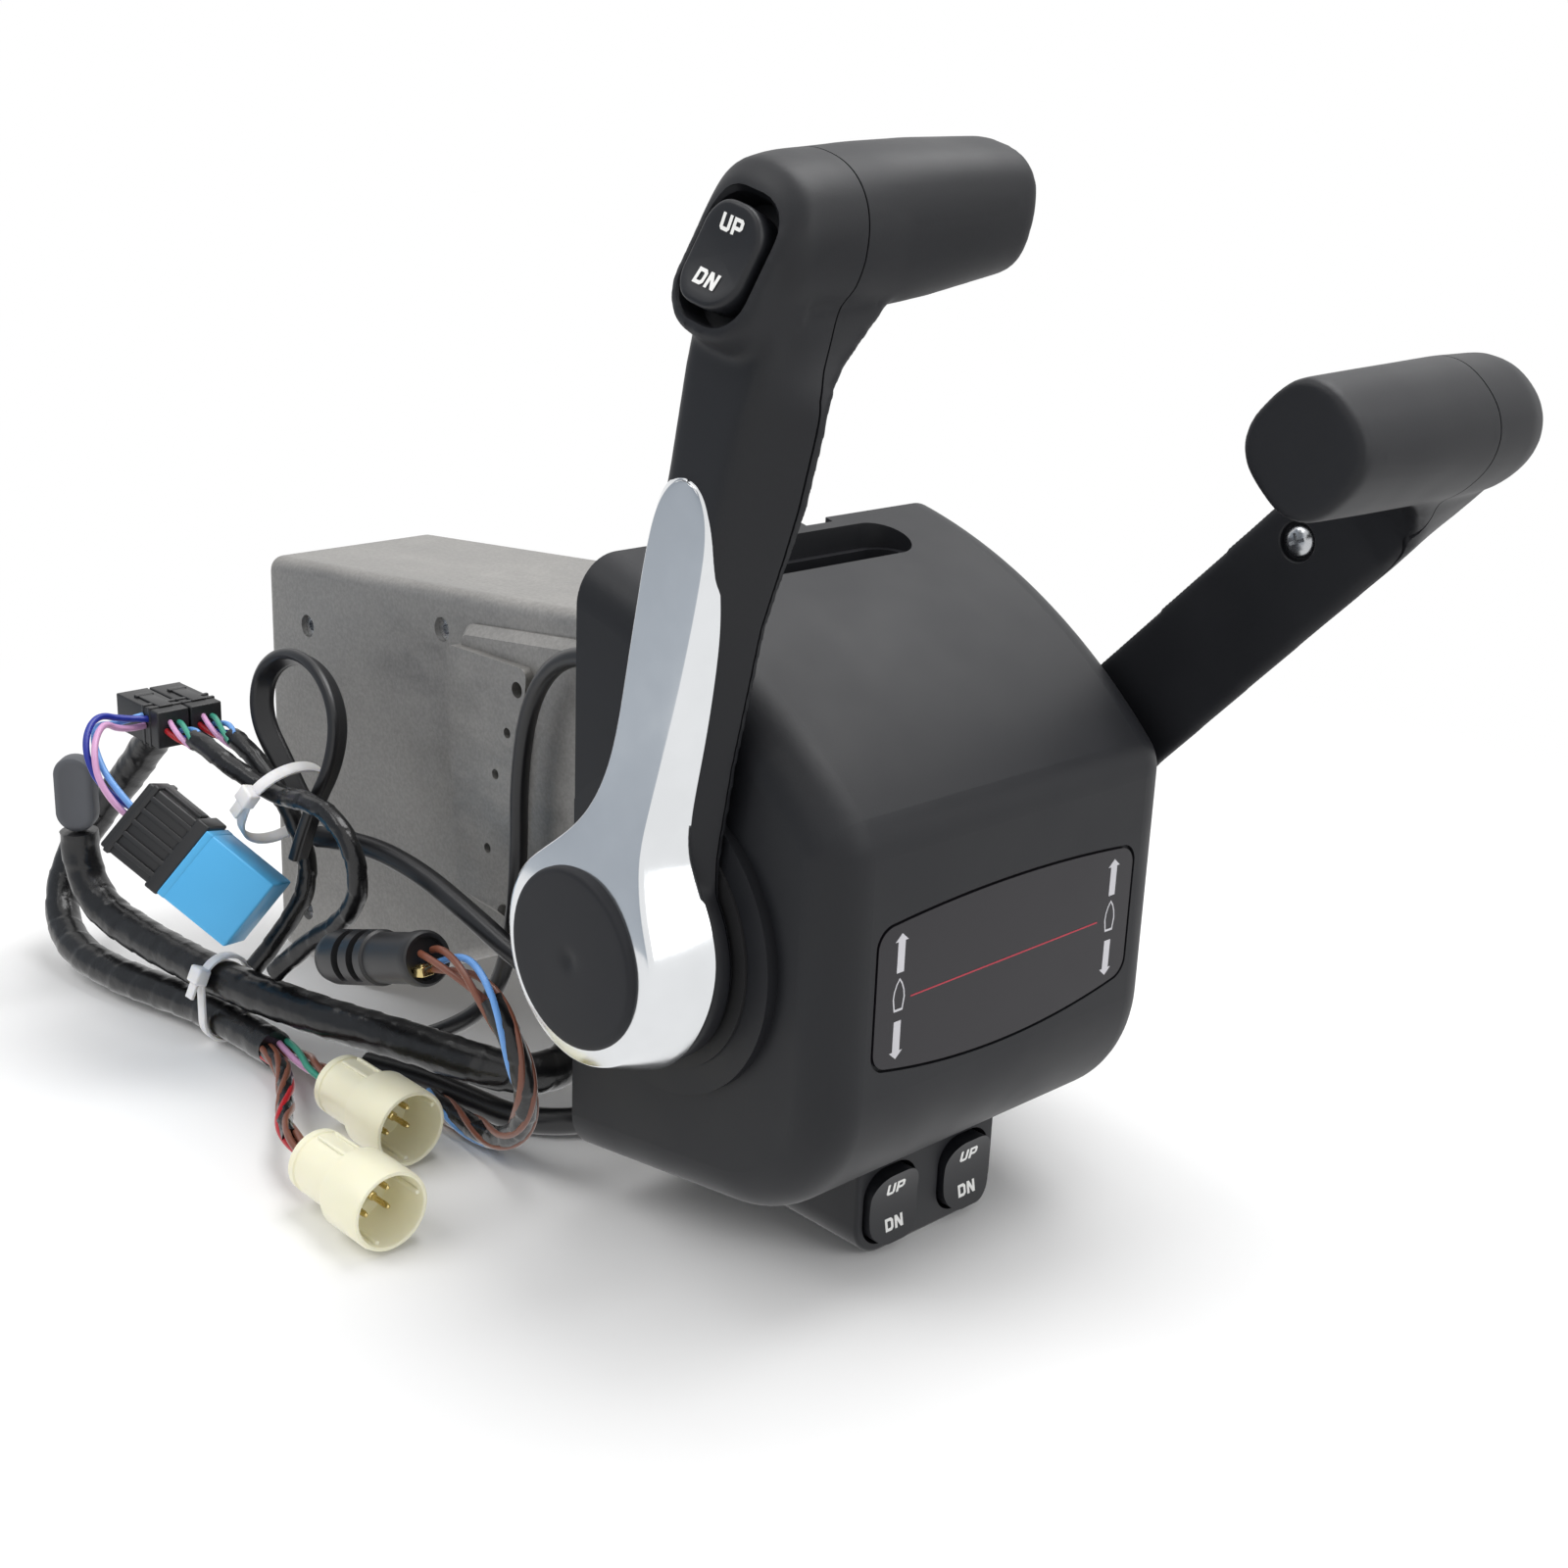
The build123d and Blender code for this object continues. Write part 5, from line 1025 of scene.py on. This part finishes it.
    def screw(self, name, pose):
        """Pan head with a cross recess, and its shank"""
        middle = pose(*SCREW_PLACE, SCREW_SEAT)
        inward = (pose(0, 0, 0) - pose(0, 0, 1)).normalized()
        bm = bmesh.new()
        lathe(bm, middle, inward, ((-6, 0), (-6, 1.9), (0, 1.9), (0, 4.3), (0.9, 4.3), (1.7, 3.7),
                                   (2.3, 2.4), (2.5, 0)), 32)
        bmesh.ops.recalc_face_normals(bm, faces=bm.faces)
        made = mesh_of("pan_head", bm)
        slots = []
        for turn in (math.radians(25), math.radians(115)):
            cutter = bmesh.new()
            block(cutter, middle + inward * 2.6 * MM, (math.cos(turn), 0, math.sin(turn)), inward,
                  (4.8, 3.0, 0.95), 0)
            slots.append(cutter)
        piece = name + "_pan_head_screw"
        show(piece, carved(piece, made, *slots), name + "_lever",
             ["steel_zinc_plated"], [name + "_lever_screw"])
        bpy.data.meshes.remove(made)


class THROTTLE_OT_connectors(bpy.types.Operator):
    """Builds the two cream connectors with their cups, keys and pins"""
    bl_idname = "throttle.connectors"
    bl_label = "Connectors"

    def execute(self, context):
        pins = bmesh.new()
        for name, route, lean in (("connector_upper", UPPER_LEAD, 0.5),
                                  ("connector_lower", LOWER_LEAD, 0.2)):
            back = Vector(route[-1])
            bm = bmesh.new()
            lathe(bm, back, (1, 0, 0), CUP_PROFILE, 56)
            for turns, along, reach, wide, rounding in (
                    ((lean, lean + 2.4, lean + 4.1), 29.5, 10.0, 1.6, 0.4),
                    ((1.2, 1.75), 12.5, 9.8, 1.2, 0.3)):
                for turn in turns:
                    out = Vector((0, math.cos(turn), math.sin(turn)))
                    block(bm, back + (Vector((along, 0, 0)) + out * reach) * MM, (1, 0, 0), out,
                          (15, wide, wide), rounding)
            show(name + "_shell", as_mesh(name, bm), "fixed", ["nylon_moulded"],
                 [name])
            for across in (-3.6, 3.6):
                for up in (-3.0, 3.0):
                    lathe(pins, back + Vector((CUP_FLOOR, across, up)) * MM, (1, 0, 0),
                          PIN_PROFILE, 16)
        show("contact_pins", as_mesh("contact_pins", pins), "fixed",
             ["brass_tinned"], ["terminals"])
        return {"FINISHED"}


class THROTTLE_OT_relay(bpy.types.Operator):
    """Builds the relay and its ribbed socket"""
    bl_idname = "throttle.relay"
    bl_label = "Relay and socket"

    def execute(self, context):
        start = Vector(RELAY_LEAD[0])
        axis = (start - Vector(RELAY_LEAD[1])).normalized()
        side = Vector(RELAY_SIDE)
        side = (side - axis * axis.dot(side)).normalized()
        rib = 2 * context.scene.throttle_sizes.rib / MM
        socket = [((12, 0, 0), (25, 23.8, 20), 0.8), ((21.5, 0, 0), (27, 5, 22), 0.7),
                  ((3, 0, 0), (26.2, 2.2, 21.2), 0.5)]
        for face in (-1, 1):
            socket += [((11.8, 4.6 * k, 10 * face), (1.6, 16, rib), 0.3) for k in range(-2, 3)]
            socket.append(((11, 12.5 * face, 0), (rib, 15, 9), 0.4))
        case = (((13.8, 0, 0), (24.8, 26.4, 24.8), 0.8), ((1.4, 0, 0), (25, 2.8, 25), 0.5),
                ((26.8, 6, -8), (4, 0.6, 2), 0.2))
        for name, foot, rows, slot, material, node in (
                ("relay_base", 0, socket, "housing_black", "polyester_black", "relay_socket"),
                ("relay_case", 24, case, "relay_blue", "polyester_blue", "relay")):
            bm = bmesh.new()
            blocks(bm, start + axis * (foot * MM), axis, side, rows)
            show(name, as_mesh(name, bm), "fixed", [material], [node])
        return {"FINISHED"}


class THROTTLE_OT_barrel(bpy.types.Operator):
    """Builds the slotted barrel housing with its terminal"""
    bl_idname = "throttle.barrel"
    bl_label = "Slotted barrel"

    def execute(self, context):
        mouth = Vector(BARREL_LEAD[0])
        axis = (mouth - Vector(BARREL_LEAD[1])).normalized()
        collar, slot_depth = 8.5, 2.2

        def slotted(turn):
            return collar - (slot_depth if abs(math.cos(turn)) > 0.42 else 0.0)

        bm = bmesh.new()
        lathe(bm, mouth, axis, (
            (1.4, 0), (1.4, 6.2), (0.2, 6.5), (0, 7.4), (0.4, 8), (1.2, 8.3), (4, 8.3), (4.6, 7.7),
            (24, 7.7), (24.6, collar), (28.2, collar), (28.4, slotted), (31.8, slotted),
            (32, collar), (36.8, collar), (37, slotted), (40.4, slotted), (40.6, collar),
            (48, collar), (51.5, 7.8), (53.6, 6), (54, 0)), 72, side=(0.3, -0.8, 0.5))
        show("barrel_housing", as_mesh("barrel_housing", bm), "fixed",
             ["polyester_black"], ["barrel"])
        bm = bmesh.new()
        spot = mouth + (Vector((0, -3.5, -3.0)) - axis * 2.2) * MM
        for lift, size, rounding in ((0, (4.2, 6, 3), 0.4), (1.7, (2.2, 3.4, 1), 0.2)):
            block(bm, spot + Vector((0, 0, lift)) * MM, (0, 1, 0), axis, size, rounding)
        show("barrel_terminal", as_mesh("barrel_terminal", bm), "fixed",
             ["brass_tinned"])
        return {"FINISHED"}


class THROTTLE_OT_loom_ends(bpy.types.Operator):
    """Builds the lead connectors, the loom's dust cap and the zip ties"""
    bl_idname = "throttle.loom_ends"
    bl_label = "Loom ends and ties"

    def execute(self, context):
        for name, route in (("branch_connector", BRANCH_LOOM), ("feeder_connector", FEEDER_LOOM)):
            middle = Vector(route[0]) - Vector((14, 0, 0)) * MM
            bm = bmesh.new()
            block(bm, middle, (0, 1, 0), (-1, 0, 0), (11.4, 28, 12.6), 0.6, mouth=7)
            blocks(bm, middle, (-1, 0, 0), (0, 1, 0), (
                ((-8.5, 0, 0), (12, 1.4, 13.6), 0.3), ((-4.5, 0, 0), (12, 1.4, 13.6), 0.3),
                ((-1, 0, -6.6), (5, 17, 0.8), 0.3), ((5.5, 0, -6.6), (6.4, 2, 1.2), 0.3)))
            show(name, as_mesh(name, bm), "fixed", ["polyester_black"],
                 ["lead_connectors"])
        bm = bmesh.new()
        obround(bm, Vector(MAIN_LOOM[0]) + Vector((0, 0, 13.7)) * MM, (0.7, -0.7, 0), (0, 0, 1),
                (27, 14), ((1.6, -3.5), (0.3, -3), (0, -2), (0, 1.8), (0.4, 2.9), (1.2, 3.4),
                           (2.4, 3.5), (3, 3.3)))
        show("dust_cap", as_mesh("dust_cap", bm), "fixed", ["rubber_grey"],
             ["loom_cap"])
        bm = bmesh.new()
        for centre, normal, size, turn in ZIP_TIES:
            band(bm, centre, normal, size, 1.2, 4)
            normal, along, across = slot_axes(normal)
            out = along * math.cos(turn) + across * math.sin(turn)
            lie = normal.cross(out)
            spot = Vector(centre) + (along * math.copysign((size[0] - size[1]) / 2, math.cos(turn))
                                     + out * (size[1] / 2 + 0.8)) * MM
            block(bm, spot, normal, lie, (6.2, 5.6, 4.6), 0.8)
            block(bm, spot + (lie * 5 + out * 0.6) * MM, normal, lie, (4, 6, 1.2), 0.3)
        show("zip_tie_straps", as_mesh("zip_tie_straps", bm), "fixed", ["nylon_tie"],
             ["zip_ties"])
        return {"FINISHED"}


class THROTTLE_OT_cables(bpy.types.Operator):
    """Builds the jacketed cables of the trim, supply and switch leads, and the flat loop"""
    bl_idname = "throttle.cables"
    bl_label = "Jacketed cables"

    def execute(self, context):
        for name, route, width, thick in (
                ("trim_lead", TRIM_LEAD, 0.0056, None), ("supply_cable", SUPPLY_CABLE, 0.007, None),
                ("switch_cable", SWITCH_CABLE, 0.0085, None),
                ("loop_cable", LOOP_CABLE, 0.0078, 0.004)):
            if thick:
                bm = bmesh.new()
                tube(bm, stations(route), twin_ring(width, thick, LOOP_LEAN))
                data = as_mesh(name, bm)
            else:
                data = route_curve(name, route, width / 2)
            piece = show(name + "_jacket", data, "fixed", ["pvc_extruded"], [name])
            declared(route)
        return {"FINISHED"}


class THROTTLE_OT_looms(bpy.types.Operator):
    """Builds the taped looms, with bare wires where they leave their connectors"""
    bl_idname = "throttle.looms"
    bl_label = "Taped looms"

    def execute(self, context):
        wire = context.scene.throttle_sizes.wire / 2
        for name, route, radius, seed, bare, ends, far, last in (
                ("main_loom", MAIN_LOOM, 0.007, 3.1, 0.0, ["dust_cap"], "connector", True),
                ("return_loom", RETURN_LOOM, 0.0065, 8.4, 0.0, [], "object", False),
                ("branch_loom", BRANCH_LOOM, 0.00375, 15.7, 0.012, ["branch_connector"],
                 "connector", True),
                ("feeder_loom", FEEDER_LOOM, 0.00375, 22.9, 0.016, ["feeder_connector"],
                 "connector", True)):
            line = stations(route)
            bm = bmesh.new()
            tube(bm, line, taped_ring(radius, seed), bare)
            shades = ("teal", "pink", "red", "blue", "sky") if bare else ()
            for k, phase in enumerate(around(len(shades))):
                tube(bm, line, round_ring(wire, 10, radius - 1.2 * wire, phase, LOOM_PITCH), 0.0,
                     bare + 0.003, k + 1)
            piece = show(name + "_tape", as_mesh(name, bm, 50), "fixed",
                         ["pvc_tape_wound"] + ["pvc_wire_" + shade for shade in shades], [name])
            declared(route)
        return {"FINISHED"}


class THROTTLE_OT_wires(bpy.types.Operator):
    """Builds the wires of the relay, the barrel and the cream connectors"""
    bl_idname = "throttle.wires"
    bl_label = "Wires"

    def execute(self, context):
        wire = context.scene.throttle_sizes.wire / 2
        for name, route, radius, shades, sleeve, ends, last in (
                ("relay_lead", RELAY_LEAD, 0.003, ("pink", "sky", "blue"), None,
                 ["relay_base", "relay_case"], True),
                ("barrel_lead", BARREL_LEAD, 0.004, ("brown", "brown", "brown", "sky"), 0.03,
                 ["barrel_housing", "barrel_terminal"], True),
                ("upper_lead", UPPER_LEAD, 0.003, ("teal", "pink", "brown", "brown"), None,
                 ["connector_upper_shell"], False),
                ("lower_lead", LOWER_LEAD, 0.003, ("brown", "brown", "red", "brown"), 0.0,
                 ["connector_lower_shell"], False)):
            line = stations(route)
            bm = bmesh.new()
            thick = min(wire * 1.15, radius / 2.1)
            for k, phase in enumerate(around(len(shades))):
                tube(bm, line, round_ring(thick, 12, radius - thick, phase, WIRE_PITCH), material=k)
            if sleeve is not None:
                end = 1e9 if sleeve else line[-1][0] - BARE_WIRE
                tube(bm, line, taped_ring(radius, LEAD_SEED), sleeve, end, len(shades))
            piece = show(name + "_wires", as_mesh(name, bm, 50), "fixed",
                         ["pvc_wire_" + shade for shade in shades] + ["pvc_tape_wound"], [name])
            declared(route)
        return {"FINISHED"}


class THROTTLE_OT_finishes(bpy.types.Operator):
    """Gives the moulded, cast, plated and turned parts their finishes"""
    bl_idname = "throttle.finishes"
    bl_label = "Finishes"

    def execute(self, context):
        dress("abs_spark_textured", "cover", "switch_apron")
        dress("steel_powder_coated", "base_plate")
        dress("steel_zinc_plated", "cover_screws", "case_screws", "flange_screws")
        dress("epdm_moulded", "grommets")
        for side in ("port", "starboard"):
            dress("abs_satin_moulded", "apron_rocker_" + side)
            dress("aluminium_die_cast", side + "_case")
            dress("steel_zinc_plated", side + "_hub_bolt", side + "_throttle_arm")
            dress("steel_ground", side + "_shaft", side + "_output_shaft", side + "_drive_gear",
                  side + "_output_gear")
            dress("brass_sintered", side + "_bush")
            dress("epdm_moulded", side + "_hub_seal")
        return {"FINISHED"}


class THROTTLE_OT_label(bpy.types.Operator):
    """Lays the label film, and prints the arrows, boat outlines and line on it"""
    bl_idname = "throttle.label"
    bl_label = "Label print"

    def execute(self, context):
        sizes = context.scene.throttle_sizes
        self.film()
        pose = face_pose((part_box("label_plate")[1].x, 0, LEVER_AXIS.z), (0, 1, 0), (1, 0, 0))
        head, shaft = sizes.arrow_width / 2 / MM, sizes.arrow_width * 0.27 / MM
        for side, middle in (("port", -MARKS_APART), ("starboard", MARKS_APART)):
            outlines = []
            for tip, tail in ((13.8, 3.1), (-21, -10.4)):
                neck = tip - math.copysign(2.1, tip)
                outlines.append([(0, tip), (head, neck), (shaft, neck), (shaft, tail),
                                 (-shaft, tail), (-shaft, neck), (-head, neck)])
            outlines += [HULL, [(across * 0.8, -3 + (up + 3) * 0.86) for across, up in HULL]]
            flat_print("label_marks_" + side,
                       [[(middle + across, up) for across, up in outline] for outline in outlines],
                       pose, "fixed", "screen_ink_silver")
        half = sizes.line_width / 2 / MM
        (left, low), (right, high) = LABEL_LINE
        flat_print("label_line", [[(left, low - half), (right, high - half), (right, high + half),
                                   (left, low + half)]],
                   pose, "fixed", "screen_ink_red")
        return {"FINISHED"}

    def film(self):
        """The label film, which leaves a dark groove round it in its recess"""
        low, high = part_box("label_plate")
        middle = (Vector(low) + Vector(high)) / 2
        bm = bmesh.new()
        bm.from_mesh(NODES["label_plate"].data)
        for corner in bm.verts:
            for k in (1, 2):
                share = 1 - 2 * LABEL_GROOVE / (high[k] - low[k])
                corner.co[k] = middle[k] + (corner.co[k] - middle[k]) * share
        face = high[0] - 1e-5
        rim = [edge for edge in bm.edges if len(edge.link_faces) == 2
               and edge.calc_face_angle() > math.radians(60)
               and min(corner.co.x for corner in edge.verts) > face]
        bmesh.ops.bevel(bm, geom=rim, offset=LABEL_RIM, segments=2, profile=0.5, affect="EDGES",
                        clamp_overlap=True)
        show("label_film", as_mesh("label_film", bm), "fixed",
             ["polycarbonate_film"], ["label_plate"])


class THROTTLE_OT_legends(bpy.types.Operator):
    """Prints UP and DN on the three rockers"""
    bl_idname = "throttle.legends"
    bl_label = "Rocker legends"

    def execute(self, context):
        unit = context.scene.throttle_sizes.legend_height / LETTER_HEIGHT / MM
        head = lever_pose(-1, PORT_TILT)
        zero = bezel(head, 0, 0, 0)
        rockers = [("grip_rocker", bezel(head, 0, 0.4, 0.55), bezel(head, 1, 0, 0) - zero,
                    bezel(head, 0, 0, 1) - zero, 12.2)]
        rockers += [("apron_rocker_" + side, (0.0893, y, 0.0144), (0, 1, 0), (1, 0, 0), 10.7)
                    for side, y in (("port", -0.0151), ("starboard", 0.0151))]
        for body, origin, across, normal, half in rockers:
            across, normal = Vector(across).normalized(), Vector(normal).normalized()
            up = normal.cross(across)
            bowl = (half ** 2 + KEY_SAG ** 2) / (2 * KEY_SAG)
            for word, share in (("UP", 0.52), ("DN", -0.52)):
                rise = half * share
                lean = math.asin(rise / bowl)
                out = normal * math.cos(lean) - up * math.sin(lean)
                lift = KEY_MIDDLE + bowl - math.sqrt(bowl ** 2 - rise ** 2) + INK_LIFT
                spot = Vector(origin) + (up * rise + normal * lift) * MM
                loops = [[((x + (k - 1) * 5.0 + 0.4) * unit, (y - LETTER_HEIGHT / 2) * unit)
                          for x, y in loop]
                         for k, letter in enumerate(word) for loop in LETTERS[letter]]
                flat_print(f"{body}_{word}", loops, face_pose(spot, across, out), body,
                           "screen_ink_white")
        return {"FINISHED"}


class THROTTLE_OT_studio(bpy.types.Operator):
    """Builds the pale floor, the soft lamps, the glowing card that paints a reflection on the
    chrome, and the white surroundings
    """
    bl_idname = "throttle.studio"
    bl_label = "Studio"

    def execute(self, context):
        scene = context.scene
        scene.view_settings.view_transform = "Standard"
        self.floor(scene)
        self.air(scene)
        self.card()
        for name, spot, size, power in LAMPS:
            lamp = bpy.data.lights.new(name, "AREA")
            lamp.size = size
            lamp.energy = power
            holder = linked(name, lamp)
            holder.location = spot
            aim = (LAMP_AIM - Vector(spot)).to_track_quat("-Z", "Y")
            holder.rotation_euler = aim.to_euler()
        return {"FINISHED"}

    def square(self, name, count, half, material):
        """Flat square of the studio"""
        bm = bmesh.new()
        bmesh.ops.create_grid(bm, x_segments=count, y_segments=count, size=half)
        made = linked(name, mesh_of(name, bm))
        made.data.materials.append(material)
        return made

    def floor(self, scene):
        """Floor of matt paper: it holds soft shadows near the part and fades to plain white"""
        made, tree = blank("paper_sweep")
        paper = add(tree, "ShaderNodeBsdfDiffuse", {},
                    {"Color": tuple(scene.throttle_colours.floor)})
        white = add(tree, "ShaderNodeEmission", {}, {"Strength": 1.0})
        place = add(tree, "ShaderNodeTexCoord").outputs["Object"]
        middle = add(tree, "ShaderNodeVectorMath", {"operation": "SUBTRACT"},
                     {0: place, 1: FLOOR_MIDDLE}).outputs[0]
        away = add(tree, "ShaderNodeVectorMath", {"operation": "LENGTH"},
                   {0: middle}).outputs["Value"]
        far = add(tree, "ShaderNodeMapRange", {"interpolation_type": "SMOOTHSTEP"},
                  {"Value": away, "From Min": FLOOR_NEAR, "From Max": FLOOR_FAR}).outputs[0]
        seen = add(tree, "ShaderNodeLightPath").outputs
        glossy = add(tree, "ShaderNodeMath", {"operation": "MAXIMUM"},
                     {0: seen["Is Glossy Ray"], 1: seen["Is Transmission Ray"]}).outputs[0]
        direct = add(tree, "ShaderNodeMath", {"operation": "MULTIPLY"},
                     {0: seen["Is Camera Ray"], 1: far}).outputs[0]
        share = add(tree, "ShaderNodeMath", {"operation": "MAXIMUM"},
                    {0: direct, 1: glossy}).outputs[0]
        mixed = add(tree, "ShaderNodeMixShader", {},
                    {0: share, 1: paper.outputs[0], 2: white.outputs[0]})
        add(tree, "ShaderNodeOutputMaterial", {}, {"Surface": mixed.outputs[0]})
        self.square("studio_floor", 8, scene.throttle_sizes.floor / 2, made)

    def air(self, scene):
        """White to look at and in reflections, and half as bright as light"""
        world = bpy.data.worlds.new("studio_air")
        scene.world = world
        world.use_nodes = True
        tree = world.node_tree
        tree.nodes.clear()
        seen = add(tree, "ShaderNodeLightPath").outputs
        bright = seen["Is Camera Ray"]
        for ray in ("Is Glossy Ray", "Is Transmission Ray"):
            bright = add(tree, "ShaderNodeMath", {"operation": "MAXIMUM"},
                         {0: bright, 1: seen[ray]}).outputs[0]
        soft, white = (add(tree, "ShaderNodeBackground", {},
                           {"Color": (1, 1, 1, 1), "Strength": power}) for power in (0.5, 1.0))
        mixed = add(tree, "ShaderNodeMixShader", {},
                    {0: bright, 1: soft.outputs[0], 2: white.outputs[0]})
        add(tree, "ShaderNodeOutputWorld", {}, {"Surface": mixed.outputs[0]})

    def card(self):
        """Glowing card beside the port lever, which only mirror-bright faces show: a painted
        reflection on the chrome, lighter below and darker above; it gives no diffuse light and
        casts no shadow
        """
        made, tree = blank("card_grey")
        height = add(tree, "ShaderNodeSeparateXYZ", {},
                     {0: add(tree, "ShaderNodeTexCoord").outputs["Generated"]}).outputs["Y"]
        # Painted reflection: the glow is light at the card's foot and darker at its top.
        tone = add(tree, "ShaderNodeMix", {"data_type": "RGBA"},
                   {"Factor": height, "A": linear(CARD_LOW), "B": linear(CARD_HIGH)})
        glow = add(tree, "ShaderNodeEmission", {},
                   {"Color": tone.outputs["Result"], "Strength": 1.0})
        add(tree, "ShaderNodeOutputMaterial", {}, {"Surface": glow.outputs[0]})
        card = self.square("studio_card", 4, CARD_HALF, made)
        aim = (CARD_AIM - CARD_PLACE).to_track_quat("Z", "Y").to_matrix().to_4x4()
        card.matrix_world = Matrix.Translation(CARD_PLACE) @ aim
        card.visible_camera = card.visible_diffuse = card.visible_shadow = False
        card.visible_transmission = False


class THROTTLE_PT_panel(bpy.types.Panel):
    """Lists the steps that build the control, and its sizes and colours"""
    bl_idname = "THROTTLE_PT_panel"
    bl_label = "Boat Throttle Control"
    bl_space_type = "VIEW_3D"
    bl_region_type = "UI"
    bl_category = "Throttle"

    def draw(self, context):
        for step in STEPS:
            self.layout.operator(step.bl_idname)
        for group in (context.scene.throttle_sizes, context.scene.throttle_colours):
            box = self.layout.box()
            for name in group.__annotations__:
                box.prop(group, name)


STEPS = (THROTTLE_OT_camera, THROTTLE_OT_levers, THROTTLE_OT_connectors, THROTTLE_OT_relay,
         THROTTLE_OT_barrel, THROTTLE_OT_loom_ends, THROTTLE_OT_cables, THROTTLE_OT_looms,
         THROTTLE_OT_wires, THROTTLE_OT_finishes, THROTTLE_OT_label, THROTTLE_OT_legends,
         THROTTLE_OT_studio)
CLASSES = (ThrottleSizes, ThrottleColours) + STEPS + (THROTTLE_PT_panel,)


def register():
    for item in CLASSES:
        bpy.utils.register_class(item)
    bpy.types.Scene.throttle_sizes = PointerProperty(type=ThrottleSizes)
    bpy.types.Scene.throttle_colours = PointerProperty(type=ThrottleColours)


def unregister():
    del bpy.types.Scene.throttle_colours
    del bpy.types.Scene.throttle_sizes
    for item in reversed(CLASSES):
        bpy.utils.unregister_class(item)


def main():
    register()
    for step in STEPS:
        group, name = step.bl_idname.split(".")
        getattr(getattr(bpy.ops, group), name)()


if __name__ == "__main__":
    main()
